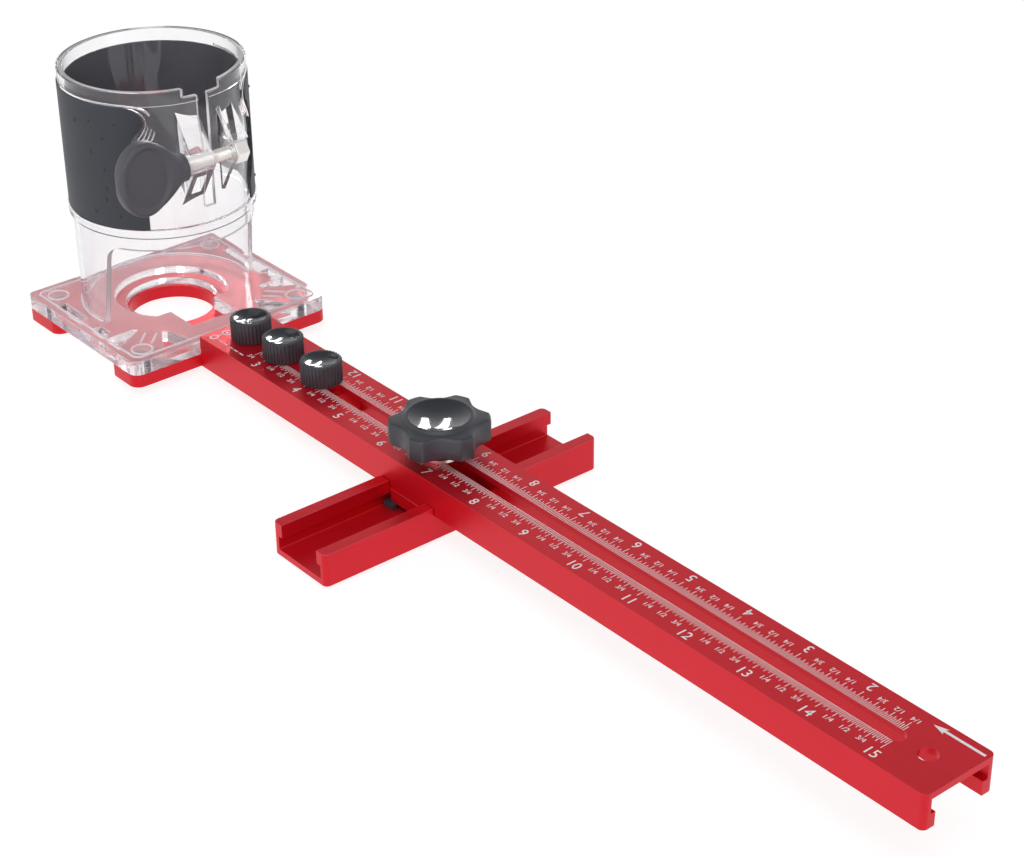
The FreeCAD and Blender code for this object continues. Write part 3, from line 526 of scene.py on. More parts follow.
# The eased edges' finish is milkier white: a painted highlight.
clear_highlit_edges = clear_plastic("clear_plastic_edges", sleeve=0.22, plate=0.72, top=0.15, ears=0.35, cut=0.40)
clear_base = eased("clear_base", "clear_moulding", clear_finish, clear_highlit_edges, edge=0.35 * MM)

# Its foot stands a hair above the red plate, so that the two share no face, and its top stays.
BASE_LIFT = 0.06 * MM
shortened = Matrix.Diagonal((1, 1, 1 - BASE_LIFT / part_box("clear_base")[1].z, 1))
clear_base.data.transform(Matrix.Translation((0, 0, BASE_LIFT)) @ shortened)
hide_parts("clear_base")
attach(clear_base, "root")

BEAD_SIDES = 8


def tube(shape, path, radius, flat=False):
    """A round bead along a path on the sleeve, or on a flat face, closed at its ends."""
    rings = []
    for at, point in enumerate(path):
        way = (path[min(at + 1, len(path) - 1)] - path[max(at - 1, 0)]).normalized()
        out = Vector((0, 0, 1)) if flat else Vector((point.x, point.y, 0))
        side = way.cross(out).normalized()
        over = side.cross(way)
        ring = []
        for turn in range(BEAD_SIDES):
            angle = 2 * math.pi * turn / BEAD_SIDES
            ring.append(shape.verts.new(point + (side * math.cos(angle) + over * math.sin(angle)) * radius))
        rings.append(ring)
    for one, other in zip(rings, rings[1:]):
        for turn in range(BEAD_SIDES):
            nxt = (turn + 1) % BEAD_SIDES
            shape.faces.new((one[turn], one[nxt], other[nxt], other[turn]))
    shape.faces.new(rings[0][::-1])
    shape.faces.new(rings[-1])


BEAD_RADIUS = 34.75 * MM
PATH_STEPS = 10


def smooth_path(stops, hand):
    """A rounded path on the sleeve through stops in degrees and millimetres, on one side."""
    path = []
    for at in range(len(stops) - 1):
        four = [stops[min(max(at + way, 0), len(stops) - 1)] for way in (-1, 0, 1, 2)]
        for step_at in range(PATH_STEPS):
            share = step_at / PATH_STEPS
            spot = []
            for before, start_at, end_at, after in zip(*four):
                bend = (2 * before - 5 * start_at + 4 * end_at - after) * share * share
                turn = (3 * start_at - before - 3 * end_at + after) * share ** 3
                spot.append((2 * start_at + (end_at - before) * share + bend + turn) / 2)
            path.append(spot)
    path.append(stops[-1])
    return [Vector((BEAD_RADIUS * math.cos(math.radians(angle)),
                    -hand * BEAD_RADIUS * math.sin(math.radians(angle)), height * MM))
            for angle, height in path]


# The clear beads that frame the grip: they run under the rim, round the grip's
# upper corner and down along its scoop, with short ribs beside them.
bead_shape = bmesh.new()
for hand in (1, -1):
    tube(bead_shape, smooth_path(
        [(104, 102.1), (84, 101.9), (62, 101.9), (45, 101.5), (38, 100.4), (34.2, 98.2)],
        hand), 0.45 * MM)
    tube(bead_shape, smooth_path(
        [(55, 101.0), (44, 100.2), (38.4, 97.6), (37.4, 94.5), (40, 91), (43.5, 88.2), (47.5, 84.5)],
        hand), 0.4 * MM)
    for rib in range(1, 4):
        tube(bead_shape, smooth_path(
            [(37.6 - rib * 1.9, 94.6 - rib * 0.9), (40.6 - rib * 2.1, 90.6 - rib * 0.6),
             (43.2 - rib * 2.3, 87.6)], hand), 0.38 * MM)
bead_mesh = shape_mesh(bead_shape, "frame_beads")
bead_mesh.shade_smooth()
frame_beads = add_piece("grip_frame_beads", bead_mesh, clear_finish)
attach(frame_beads, "root")

# Beads on the clear plate: a line inside its rim, a ring on each screw boss, a
# pair of ribs from each front boss towards the cutter, and the sleeve's foot. They
# are raised a little in the moulding's own clear plastic, in the milkier finish of
# its edges, whose white is a painted highlight.
PLATE_TOP = 10.8 * MM
BEAD = 0.52 * MM
RIM_FRONT = (36.6, 37.8, 3.0)
RIM_BACK = (-29.6, 38.4, 2.4)
BOSSES = ((34.5, 35.0), (-25.5, 35.5))
BOSS_RING = 3.9
FOOT_RING = 34.5


def flat_arc(x, y, radius, first, last, steps=12):
    """Points on the plate's top along an arc, with lengths in millimetres and angles in degrees."""
    points = []
    for at in range(steps + 1):
        angle = math.radians(first + (last - first) * at / steps)
        points.append(Vector(((x + radius * math.cos(angle)) * MM, (y + radius * math.sin(angle)) * MM,
                              PLATE_TOP)))
    return points


plate_shape = bmesh.new()
rim_line = []
for corner, hand, first in ((RIM_FRONT, 1, 0), (RIM_BACK, 1, 90), (RIM_BACK, -1, 180), (RIM_FRONT, -1, 270)):
    x, y, radius = corner
    rim_line += flat_arc(x, y * hand, radius, first, first + 90)
tube(plate_shape, rim_line + [rim_line[0]], BEAD, flat=True)
for hand in (1, -1):
    for x, y in BOSSES:
        tube(plate_shape, flat_arc(x, y * hand, BOSS_RING, 0, 360, 32), BEAD, flat=True)
    for aside in (-1.5, 1.5):
        rib_line = [(reach - aside, (reach + aside) * hand) for reach in (25.6, 27.5, 29.5, 31.4)]
        tube(plate_shape, [Vector((x * MM, y * MM, PLATE_TOP)) for x, y in rib_line], BEAD, flat=True)
tube(plate_shape, flat_arc(0, 0, FOOT_RING, 81, 279, 96), BEAD, flat=True)
plate_mesh = shape_mesh(plate_shape, "plate_beads")
plate_mesh.shade_smooth()
plate_beads = add_piece("plate_beads", plate_mesh, clear_highlit_edges)
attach(plate_beads, "root")

# Grip: a black rubber sheet moulded round the back of the sleeve, with small
# raised dots and a scoop on each side of the opening.
RUBBER = (0.044, 0.048, 0.060, 1)
RUBBER_DARK = (0.034, 0.036, 0.047, 1)
rubber = Finish("black_rubber")
rubber_grain = rubber.cloud(rubber.stretched(1, 1, 1), 2400, 3)
rubber_haze = rubber.cloud(rubber.stretched(1, 1, 1), 45, 3)
rubber_finish = rubber.surface(
    Base_Color=rubber.blend(rubber_haze, RUBBER_DARK, RUBBER),
    Roughness=0.46 + rubber_haze * 0.2,
    Normal=rubber.relief(rubber_grain, 0.02 * MM, 0.5),
)
grip = eased("grip_sleeve", "rubber_grip", rubber_finish, rubber_finish, edge=0.35 * MM)
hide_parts("grip_sleeve")
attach(grip, "root")

# The raised dots: a ball on each of their places, sunk to its middle in the grip.
DOT = 0.72 * MM
GRIP_SKIN = 35.12 * MM
dots = Growth("raised_dots", Places="Geometry", Dot="Float")
ball = dots.node("GeometryNodeMeshUVSphere", None,
                 {"Segments": 16, "Rings": 10, "Radius": dots.given.also("Dot")})
dotted = dots.node("GeometryNodeInstanceOnPoints", None, {"Points": dots.given, "Instance": ball})
dots.close(dotted, rubber_finish, smooth=True)

dot_spots = [(87, 92.7), (74.3, 94.4), (56.3, 94.1), (65.3, 88.3), (75, 82), (65.9, 75.9), (65.3, 68.6),
             (66.4, 64), (75.5, 58.3), (57.5, 57.8)]
dot_places = []
for angle, height in dot_spots:
    for hand in (1, -1):
        dot_places.append((GRIP_SKIN * math.cos(math.radians(angle)),
                           -hand * GRIP_SKIN * math.sin(math.radians(angle)), height * MM))
dot_seed = bpy.data.meshes.new("dot_places")
dot_seed.from_pydata(dot_places, [], [])
grip_dots = add_piece("grip_dots", dots.grown("grip_dots", dot_seed, Dot=DOT), rubber_finish)
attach(grip_dots, "root")

# Clamp screw: a bright zinc plated screw through the sleeve's two ears, with a
# hexagon nut on the far ear. Inside the wing knob it stops short of the dished faces.
ROD_SHORT = 1.6 * MM
THREAD_PITCH = 0.8 * MM
THREAD_SIDES = 36
THREAD_STEPS = 6
THREAD_FLANK = 1.4
SKIN_CREASE = math.radians(50)


def turned_metal(name, base, low, rough):
    """Bright machined metal with fine tool lines across its axis."""
    finish = Finish(name)
    lines = finish.cloud(finish.stretched(1, 9, 9), 420, 3)
    return finish.surface(
        Base_Color=finish.blend(lines, low, base),
        Metallic=1.0,
        Roughness=rough + lines * 0.16,
        Normal=finish.relief(lines, 0.008 * MM, 0.4),
    )


def skin(name, rings):
    """A smooth mesh over rings of points, closed at its first ring and its last."""
    count = len(rings[0])
    corners = [point for ring in rings for point in ring]
    faces = []
    for low in range(0, len(corners) - count, count):
        for at in range(count):
            nxt = (at + 1) % count
            faces.append((low + at, low + nxt, low + count + nxt, low + count + at))
    for ring, first, way in ((rings[0], 0, -1), (rings[-1], len(corners) - count, 1)):
        centre = sum((Vector(point) for point in ring), Vector()) / count
        corners.append(centre)
        for at in range(count):
            faces.append((first + at, first + (at + 1) % count, len(corners) - 1)[::way])
    mesh = bpy.data.meshes.new(name)
    mesh.from_pydata(corners, [], faces)
    mesh.shade_smooth()
    mesh.set_sharp_from_angle(angle=SKIN_CREASE)
    return mesh


def ring_of(reach, height, count, x=0.0, y=0.0):
    """Points round an upright axis at a height; reach is a radius or a function of the angle."""
    points = []
    for at in range(count):
        angle = 2 * math.pi * at / count
        radius = reach(angle) if callable(reach) else reach
        points.append((x + radius * math.cos(angle), y + radius * math.sin(angle), height))
    return points


def threaded(name, radius, start, end):
    """An upright threaded rod from one height to another, with plain chamfered ends."""
    depth = THREAD_PITCH * 0.5
    rings = [ring_of(radius - depth, start, THREAD_SIDES)]
    turns = int((end - start) / THREAD_PITCH * THREAD_STEPS)
    for at in range(turns + 1):
        height = start + (end - start) * at / turns
        from_end = min(height - start, end - height)

        def reach(angle, height=height, from_end=from_end):
            phase = (height / THREAD_PITCH + angle / (2 * math.pi)) % 1
            crest = min(abs(2 * phase - 1) * THREAD_FLANK, 1.0)
            return radius - max(depth * (1 - crest), depth - from_end)
        rings.append(ring_of(reach, height, THREAD_SIDES))
    rings.append(ring_of(radius - depth, end, THREAD_SIDES))
    return skin(name, rings)


steel = turned_metal("bright_steel", base=(0.96, 0.95, 0.91, 1), low=(0.82, 0.81, 0.77, 1), rough=0.27)
rod_low, rod_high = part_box("clamp_rod")
rod_radius = (rod_high.z - rod_low.z) / 2
clamp_axis = Vector(((rod_low.x + rod_high.x) / 2, 0, (rod_low.z + rod_high.z) / 2))
rod_mesh = threaded("clamp_screw", rod_radius, rod_low.y + ROD_SHORT, rod_high.y)
rod_mesh.transform(Matrix.Translation(clamp_axis) @ Matrix.Rotation(math.radians(-90), 4, "X"))
clamp_rod = add_piece("clamp_screw", rod_mesh, steel)
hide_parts("clamp_rod")
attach(clamp_rod, "wing_screw")
clamp_nut = eased("clamp_nut", "clamp_nut_hex", steel, steel, edge=0.35 * MM)
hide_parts("clamp_nut")
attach(clamp_nut, "root")

# Wing knob: a black moulded paddle, dished on both faces inside a raised rim,
# which flares out of a round neck that is moulded round the clamp screw's end.
TOOL_GRAIN = 1800


def moulded(name, base, low, rough):
    """Dark moulded plastic with the fine grain of its tool."""
    finish = Finish(name)
    spark = finish.cloud(finish.stretched(1, 1, 1), TOOL_GRAIN, 3)
    haze = finish.cloud(finish.stretched(1, 1, 1), 70, 3)
    return finish.surface(
        Base_Color=finish.blend(haze, low, base),
        Roughness=rough + haze * 0.12,
        Normal=finish.relief(spark, 0.012 * MM, 0.45),
    )


black = moulded("black_moulding", base=(0.060, 0.062, 0.074, 1), low=(0.042, 0.043, 0.052, 1), rough=0.36)
wing_black = moulded("wing_black", base=(0.100, 0.100, 0.118, 1), low=(0.078, 0.078, 0.092, 1), rough=0.40)
wing_low, wing_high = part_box("wing_knob")
WING_MIDDLE = -30.7 * MM
WING_HALF = WING_MIDDLE - wing_low.y
WING_TALL = (wing_high.z - wing_low.z) / 2
WING_THICK = 3.0 * MM
WING_NECK = 5.3 * MM
WING_NECK_START = -24 * MM
WING_NECK_BLEND = 9 * MM
WING_DISH = 0.95 * MM
WING_DISH_LONG = 0.88
WING_DISH_TALL = 0.90
WING_DISH_SHIFT = 0.6 * MM
WING_DISH_EASE = 0.14
WING_FACE_STEPS = 44
WING_CORNER_STEPS = 10
WING_SECTIONS = 120
WING_TIP_GAP = 0.02 * MM
flare_stops = [(-26.0, 12.9), (-23.0, 11.2), (-20.2, 9.0), (-18.4, 7.3), (-17.0, 6.0), (-15.6, 5.4)]


def eased_step(share):
    """A smooth step from 0 to 1."""
    share = min(max(share, 0.0), 1.0)
    return share * share * (3 - 2 * share)


def wing_height(y):
    """Half the paddle's height at y: half an ellipse, then the flare's stops, then the neck."""
    for (near_y, near_tall), (far_y, far_tall) in zip(flare_stops, flare_stops[1:]):
        if near_y * MM <= y < far_y * MM:
            share = (y / MM - near_y) / (far_y - near_y)
            return (near_tall + (far_tall - near_tall) * share) * MM
    if y >= flare_stops[-1][0] * MM:
        return WING_NECK
    return WING_TALL * math.sqrt(max(1 - ((y - WING_MIDDLE) / WING_HALF) ** 2, 0.0008))


def wing_ring(y):
    """The paddle's section at y: a rounded bar that turns into the round neck."""
    tall = wing_height(y)
    neck = eased_step((y - WING_NECK_START) / WING_NECK_BLEND)
    outer = max(0.0, (WING_MIDDLE - y) / WING_HALF)
    thick = WING_THICK * math.sqrt(max(1 - outer ** 10, 0.05))
    thick += (WING_NECK - thick) * neck
    corner = min(thick, tall) * (0.62 + 0.33 * neck)
    points = []

    def face(side):
        for at in range(WING_FACE_STEPS + 1):
            z = (tall - corner) * (2 * at / WING_FACE_STEPS - 1) * side
            spread = math.hypot((y - WING_MIDDLE - WING_DISH_SHIFT) / (WING_DISH_LONG * WING_HALF),
                                z / (WING_DISH_TALL * WING_TALL))
            sunk = WING_DISH * eased_step((1.0 - spread) / WING_DISH_EASE)
            points.append(((thick - sunk) * side, y, z))

    def corner_arc(first, side_x, side_z):
        for at in range(1, WING_CORNER_STEPS):
            angle = math.radians(first + 90 / WING_CORNER_STEPS * at)
            points.append(((thick - corner) * side_x + corner * math.cos(angle), y,
                           (tall - corner) * side_z + corner * math.sin(angle)))
    face(1)
    corner_arc(0, 1, 1)
    corner_arc(90, -1, 1)
    face(-1)
    corner_arc(180, -1, -1)
    corner_arc(270, 1, -1)
    return [Vector(point) + clamp_axis for point in points]


# The sections lie closer together at the paddle's tip, where its outline is round.
wing_ys = []
for at in range(WING_SECTIONS + 1):
    share = (at / WING_SECTIONS) ** 1.25
    wing_ys.append(wing_low.y + WING_TIP_GAP + (wing_high.y - wing_low.y - WING_TIP_GAP) * share)
wing_mesh = skin("wing_knob_paddle", [wing_ring(y) for y in wing_ys][::-1])
wing_knob = add_piece("wing_knob_paddle", wing_mesh, wing_black)
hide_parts("wing_knob")
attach(wing_knob, "wing_screw")

# Thumb knobs: three black knobs with moulded ribs that end in a toothed rim, each
# with a polished dish sunk in its top and a steel stud into the plate's tongue.
GLOSS_BLACK = (0.040, 0.043, 0.050, 1)
GLOSS_DEEP = (0.030, 0.032, 0.038, 1)
gloss = Finish("black_gloss")
gloss_waves = gloss.cloud(gloss.stretched(1, 1, 1), 160, 2)
gloss_finish = gloss.surface(
    Base_Color=gloss.blend(gloss_waves, GLOSS_DEEP, GLOSS_BLACK),
    Roughness=0.05 + gloss_waves * 0.04,
    Normal=gloss.relief(gloss_waves, 0.003 * MM, 0.1),
)
ribs = Growth("ribs_round", Count="Int", Reach="Float", Rib="Float", Tall="Float", Middle="Float")
rib_ring = ribs.node("GeometryNodeMeshCircle", None,
                     {"Vertices": ribs.given, "Radius": ribs.given.also("Reach")})
rib_bar = ribs.node("GeometryNodeMeshCylinder", None,
                    {"Vertices": 12, "Radius": ribs.given.also("Rib"), "Depth": ribs.given.also("Tall")})
rib_up = ribs.vector(z=ribs.given.also("Middle"))
rib_bar = ribs.node("GeometryNodeTransform", None, {"Geometry": rib_bar, "Translation": rib_up})
ribbed = ribs.node("GeometryNodeInstanceOnPoints", None, {"Points": rib_ring, "Instance": rib_bar})
ribs.close(ribbed, black)

KNOB_SIDES = 120
DISH_RINGS = 24
DISH_LIP = 0.06 * MM
DISH_SPAN = 0.985


def dished(name, radius, foot, rim, depth, x, y):
    """A round cap from its foot to its rim, with a shallow dish in its top."""
    rings = [ring_of(radius, foot, KNOB_SIDES, x, y), ring_of(radius, rim - 2 * DISH_LIP, KNOB_SIDES, x, y)]
    for at in range(DISH_RINGS + 1):
        share = 1 - at / DISH_RINGS * DISH_SPAN
        height = rim - DISH_LIP - depth * (1 - share * share)
        rings.append(ring_of((radius - DISH_LIP) * share, height, KNOB_SIDES, x, y))
    return skin(name, rings)


THUMB_RIM = 6.1 * MM
THUMB_RIB = 0.36 * MM
THUMB_RIBS = 34
THUMB_DISH_DEPTH = 1.1 * MM
STUD_RADIUS = 2.5 * MM
thumb_dishes = []
for number in (1, 2, 3):
    low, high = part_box(f"thumb_knob_{number}")
    axis = (low + high) / 2
    tall = high.z - low.z
    thumb_radius = (high.y - low.y) / 2
    core = thumb_radius - THUMB_RIB * 0.95
    levels = [(STUD_RADIUS, 5.0 * MM), (STUD_RADIUS, 0), (core - 0.4 * MM, 0), (core, 0.35 * MM),
              (core, tall - 0.5 * MM), (core - 0.12 * MM, tall - 0.18 * MM), (core - 0.45 * MM, tall),
              (THUMB_RIM + 0.12 * MM, tall), (THUMB_RIM, tall - 0.12 * MM), (THUMB_RIM, tall - 2.4 * MM)]
    body_mesh = skin("thumb_body", [ring_of(radius, height, KNOB_SIDES) for radius, height in levels])
    rib_mesh = ribs.grown("thumb_ribs", Count=THUMB_RIBS, Reach=core - THUMB_RIB * 0.05, Rib=THUMB_RIB,
                          Tall=tall - 0.55 * MM, Middle=tall / 2)
    wheel = bmesh.new()
    wheel.from_mesh(body_mesh)
    wheel.from_mesh(rib_mesh)
    wheel_mesh = shape_mesh(wheel, f"thumb_wheel_{number}")
    wheel_mesh.transform(Matrix.Translation((axis.x, axis.y, low.z)))
    thumb_wheel = add_piece(f"thumb_wheel_{number}", wheel_mesh, black)
    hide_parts(f"thumb_knob_{number}")
    dish_mesh = dished(f"thumb_dish_{number}", THUMB_RIM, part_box(f"thumb_cap_{number}")[0].z, high.z,
                       THUMB_DISH_DEPTH, axis.x, axis.y)
    dish = add_piece(f"thumb_dish_{number}", dish_mesh, gloss_finish)
    thumb_dishes.append(dish)
    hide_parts(f"thumb_cap_{number}")
    stud_low, stud_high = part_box(f"thumb_stud_{number}")
    stud_mesh = threaded(f"thumb_thread_{number}", STUD_RADIUS, stud_low.z, stud_high.z)
    stud_mesh.transform(Matrix.Translation((axis.x, axis.y, 0)))
    stud = add_piece(f"thumb_thread_{number}", stud_mesh, steel)
    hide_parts(f"thumb_stud_{number}")
    for piece in (thumb_wheel, dish, stud):
        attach(piece, f"thumb_screw_{number}")

# Star knob: a black six-lobed knob with a rounded lip round its polished dish. It
# is moulded over a brass hexagon and turns on the fence's bolt, above a washer.
brass = turned_metal("brass", base=(0.72, 0.50, 0.20, 1), low=(0.50, 0.33, 0.12, 1), rough=0.25)
STAR_TIP = 17.6 * MM
STAR_TURN = math.radians(-6)
VALLEY_REACH = 23.6 * MM
VALLEY_RADIUS = 9 * MM
STAR_DISH = 10.9 * MM
STAR_DISH_DEPTH = 1.8 * MM
STAR_SIDES = 360
INSERT_FLATS = 9.04 * MM
LOBE_TOP = 12.4 * MM
SOFT = 2.6 * MM
washer_low, washer_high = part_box("star_washer")
star_axis = (washer_low + washer_high) / 2
star_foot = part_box("star_knob")[0].z
star_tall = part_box("star_knob")[1].z - star_foot


def star_reach(inset):
    """The star's outline, drawn in by an inset: tips of one radius between round valleys."""
    def reach(angle):
        pitch = math.pi / 3
        off = (angle - STAR_TURN) % pitch - pitch / 2
        inside = VALLEY_RADIUS ** 2 - (VALLEY_REACH * math.sin(off)) ** 2
        if inside <= 0:
            return STAR_TIP - inset
        valley = VALLEY_REACH * math.cos(off) - math.sqrt(inside)
        near = max(SOFT - abs(valley - STAR_TIP), 0) / SOFT
        return min(valley, STAR_TIP) - near * near * SOFT / 4 - inset
    return reach


def hexagon(flats):
    """A hexagon's outline, from its size across flats."""
    def reach(angle):
        return flats / 2 / math.cos((angle - STAR_TURN) % (math.pi / 3) - math.pi / 6)
    return reach


star_levels = [
    (hexagon(INSERT_FLATS), 9.02 * MM), (hexagon(INSERT_FLATS), 0.0), (8.1 * MM, 0.0), (8.5 * MM, 0.4 * MM),
    (8.5 * MM, 3.5 * MM), (9.0 * MM, 4.0 * MM), (star_reach(1.2 * MM), 4.0 * MM),
    (star_reach(0.35 * MM), 4.1 * MM), (star_reach(0.0), 4.6 * MM), (star_reach(0.0), 8.0 * MM),
    (star_reach(0.0), LOBE_TOP - 1.4 * MM), (star_reach(0.12 * MM), LOBE_TOP - 0.8 * MM),
    (star_reach(0.45 * MM), LOBE_TOP - 0.3 * MM), (star_reach(0.95 * MM), LOBE_TOP - 0.05 * MM),
    (star_reach(1.4 * MM), LOBE_TOP), (12.9 * MM, LOBE_TOP + 0.1 * MM), (12.4 * MM, LOBE_TOP + 0.35 * MM),
    (12.0 * MM, star_tall - 0.5 * MM), (11.7 * MM, star_tall - 0.14 * MM), (11.35 * MM, star_tall),
    (11.05 * MM, star_tall - 0.08 * MM), (STAR_DISH, star_tall - 0.25 * MM),
    (STAR_DISH, star_tall - 4.0 * MM),
]
star_mesh = skin("star_knob_body", [ring_of(reach, height, STAR_SIDES) for reach, height in star_levels])
star_mesh.transform(Matrix.Translation((star_axis.x, star_axis.y, star_foot)))
star_knob = add_piece("star_knob_body", star_mesh, black)
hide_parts("star_knob")
cap_low, cap_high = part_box("star_cap")
cap_mesh = dished("star_knob_dish", STAR_DISH, cap_low.z, cap_high.z - 0.1 * MM, STAR_DISH_DEPTH,
                  star_axis.x, star_axis.y)
star_cap = add_piece("star_knob_dish", cap_mesh, gloss_finish)
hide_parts("star_cap")
star_insert = eased("star_insert", "star_thread", brass, brass, edge=0.1 * MM)
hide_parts("star_insert")
for piece in (star_knob, star_cap, star_insert):
    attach(piece, "star_lock")
star_washer = eased("star_washer", "star_seat_washer", steel, steel, edge=0.2 * MM)
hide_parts("star_washer")
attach(star_washer, "lock_washer")

# Corner screws: four countersunk hexagon socket screws, blackened, that come up
# through the plate into the moulding's bosses.
dark_steel = turned_metal("dark_steel", base=(0.10, 0.10, 0.11, 1), low=(0.05, 0.05, 0.055, 1), rough=0.30)
corner_screws = eased("base_screws", "corner_screws", dark_steel, dark_steel, edge=0.1 * MM)
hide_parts("base_screws")
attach(corner_screws, "root")

# Fence: a length of the bar's extrusion laid on its back across the bar, with
# the block that fills it under the bar, the foot pad and the bolt. The black
# foot pad also stands in for the shade in the gap under the block: painted shade.
fence_finish = anodised("red_fence", FINE_GRAIN, LONG_GRAIN)
fence_edges = anodised("red_fence_edges", FINE_GRAIN, LONG_GRAIN, worn_and_highlit=True)
for node, name, finish, edges, slot, edge in (
    ("fence_channel", "fence_extrusion", fence_finish, fence_edges, "red_aluminium", 0.25),
    ("fence_block", "fence_slide_block", fence_finish, fence_edges, "red_aluminium", 0.3),
    ("fence_bolt", "fence_t_bolt", dark_steel, dark_steel, "dark_steel", 0.15),
    # The foot pad is black where the gap under the block is in shade: painted shade.
    ("fence_pad", "fence_pad_painted_shade", rubber_finish, rubber_finish, "black_rubber", 0.2),
):
    piece = eased(node, name, finish, edges, edge=edge * MM)
    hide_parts(node)
    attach(piece, "fence")

# Studio: the jig stands on its fence and on the plate's back edge, on a white
# sweep under a white sky that darkens overhead. The camera sees both whiter than
# they shine on the jig.
world = bpy.data.worlds.new("studio")
bpy.context.scene.world = world
world.use_nodes = True
world.node_tree.nodes.clear()
sky = Bench(world.node_tree)
sky_ray = sky.node("ShaderNodeLightPath", output="Is Camera Ray")
direction = sky.node("ShaderNodeTexCoord", output="Generated")
height = sky.node("ShaderNodeSeparateXYZ", None, {0: direction}, output="Z")
dome = sky.node("ShaderNodeValToRGB", {"stops": (
    (0.0, (1, 1, 1, 1)), (0.35, (1, 1, 1, 1)), (0.75, (0.30, 0.30, 0.31, 1)), (1.0, (0.16, 0.16, 0.17, 1)))},
    {0: height})
seen = sky_ray.math("MAXIMUM", sky_ray, sky_ray.also("Is Transmission Ray"))
shine = sky.node("ShaderNodeBackground", None, {"Color": dome, "Strength": 1.0})
fill = sky.node("ShaderNodeBackground", None, {"Color": (0.97, 0.98, 1.0, 1), "Strength": 0.42})
white = sky.node("ShaderNodeBackground", None, {"Color": (1, 1, 1, 1), "Strength": 1.0})
mirrored = sky.node("ShaderNodeMixShader", None, {0: sky_ray.also("Is Glossy Ray"), 1: fill, 2: shine})
whole = sky.node("ShaderNodeMixShader", None, {0: seen, 1: mirrored, 2: white})
sky_out = world.node_tree.nodes.new("ShaderNodeOutputWorld")
world.node_tree.links.new(whole.socket, sky_out.inputs["Surface"])

floor_finish = Finish("white_sweep")
floor_ray = floor_finish.node("ShaderNodeLightPath", output="Is Camera Ray")
through = floor_ray.math("MAXIMUM", floor_ray, floor_ray.also("Is Transmission Ray"))
floor_shown = floor_ray.math("MAXIMUM", through, floor_ray.also("Is Glossy Ray"))
floor_lit = floor_finish.node("ShaderNodeBsdfDiffuse", None, {"Color": (0.30, 0.30, 0.30, 1)})
floor_glow = floor_finish.node("ShaderNodeEmission", None, {"Color": (1, 1, 1, 1), "Strength": 0.84})
floor_seen = floor_finish.node("ShaderNodeAddShader", None, {0: floor_lit, 1: floor_glow})
floor_plain = floor_finish.node("ShaderNodeBsdfDiffuse", None, {"Color": (0.86, 0.86, 0.86, 1)})
floor_mix = floor_finish.node("ShaderNodeMixShader", None, {0: floor_shown, 1: floor_plain, 2: floor_seen})
floor_material = floor_finish.close(floor_mix)

plate_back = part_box("router_plate")[0].x
fence_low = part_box("fence_channel")[0]
lean = math.atan2(-fence_low.z, fence_low.x - plate_back)
SWEEP = 6.0
SWEEP_GAP = 0.05 * MM
floor_mesh = bpy.data.meshes.new("sweep")
floor_mesh.from_pydata([(-SWEEP, -SWEEP, 0), (SWEEP, -SWEEP, 0), (SWEEP, SWEEP, 0), (-SWEEP, SWEEP, 0)],
                       [], [(0, 1, 2, 3)])
sweep = add_piece("sweep", floor_mesh, floor_material)
sweep.location = (plate_back, 0, -SWEEP_GAP)
sweep.rotation_euler = (0, lean, 0)

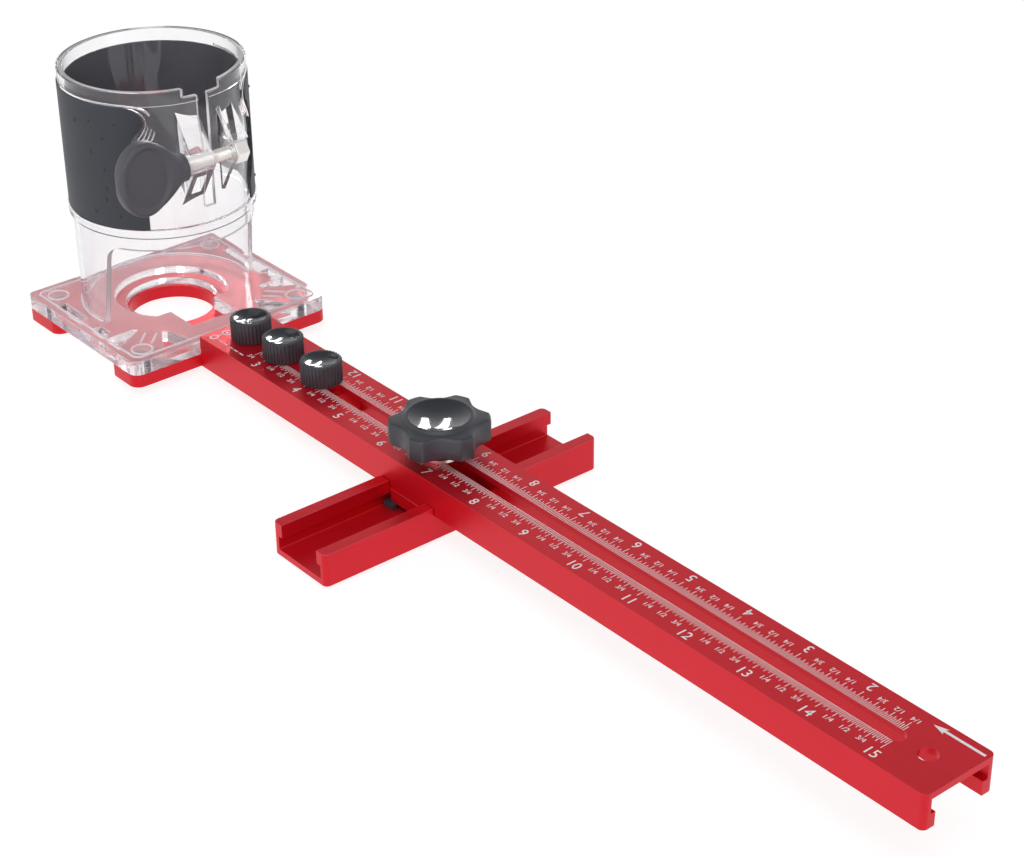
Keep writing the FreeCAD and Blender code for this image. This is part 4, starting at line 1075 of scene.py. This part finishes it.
# Camera: where the photograph was taken from, found from the marks of the bar's
# scales, with its angles in degrees and its lens in millimetres.
HEADING = 140.481
DIP = 29.733
ROLL = -0.614
LENS = 83.565
SENSOR = 36
EYE = Vector((727.68, -428.44, 423.74)) * MM
heading, dip, roll = (math.radians(angle) for angle in (HEADING, DIP, ROLL))
ahead = Vector((math.cos(dip) * math.cos(heading), math.cos(dip) * math.sin(heading), -math.sin(dip)))
level = Vector((math.sin(heading), -math.cos(heading), 0))
upright = level.cross(ahead)
right = level * math.cos(roll) + upright * math.sin(roll)
up = right.cross(ahead)
camera_data = bpy.data.cameras.new("camera")
camera_data.lens = LENS
camera_data.sensor_width = SENSOR
camera = bpy.data.objects.new("camera", camera_data)
bpy.context.scene.collection.objects.link(camera)
camera.matrix_world = Matrix.Translation(EYE) @ Matrix((right, up, -ahead)).transposed().to_4x4()
bpy.context.scene.camera = camera

STAR_SPOT = Vector((168, 0, 20)) * MM


def soft_box(name, turn, rise, far, width, tall, power, lean=0.0):
    """A lamp seen from the knobs at a turn from the camera's heading, a rise and a lean, in degrees."""
    data = bpy.data.lights.new(name, "AREA")
    data.shape = "RECTANGLE"
    data.size = width
    data.size_y = tall
    data.energy = power
    lamp = bpy.data.objects.new(name, data)
    bpy.context.scene.collection.objects.link(lamp)
    way = math.radians(HEADING + turn)
    up_way = math.radians(rise)
    lamp.location = STAR_SPOT + far * Vector((math.cos(way) * math.cos(up_way),
                                              math.sin(way) * math.cos(up_way), math.sin(up_way)))
    lamp.rotation_mode = "QUATERNION"
    facing = (STAR_SPOT - lamp.location).to_track_quat("-Z", "Y")
    lamp.rotation_quaternion = facing @ Quaternion((0, 0, 1), math.radians(lean))
    lamp.visible_camera = False
    return lamp


# Lamps: two tall strips that lean apart behind the jig give the paired glints in
# the knobs' dishes. They light only those, the clamp screw and nut, the moulding and
# the grip's beads. A wide box over the camera and a low one at its left light the rest.
glinting = bpy.data.collections.new("lit_by_strips")
for piece in (star_cap, clamp_rod, clamp_nut, clear_base, frame_beads, *thumb_dishes):
    glinting.objects.link(piece)
for name, side in (("left_strip", 1), ("right_strip", -1)):
    strip = soft_box(name, turn=4.2 * side, rise=15, far=1.2, width=0.07, tall=0.64, power=3.5,
                     lean=-9.3 * side)
    strip.visible_diffuse = False
    strip.light_linking.receiver_collection = glinting
soft_box("over_camera", turn=180, rise=62, far=1.6, width=1.1, tall=0.8, power=7)
soft_box("low_left", turn=150, rise=22, far=1.5, width=0.8, tall=0.6, power=3.5)

bpy.context.scene.view_settings.view_transform = "Standard"
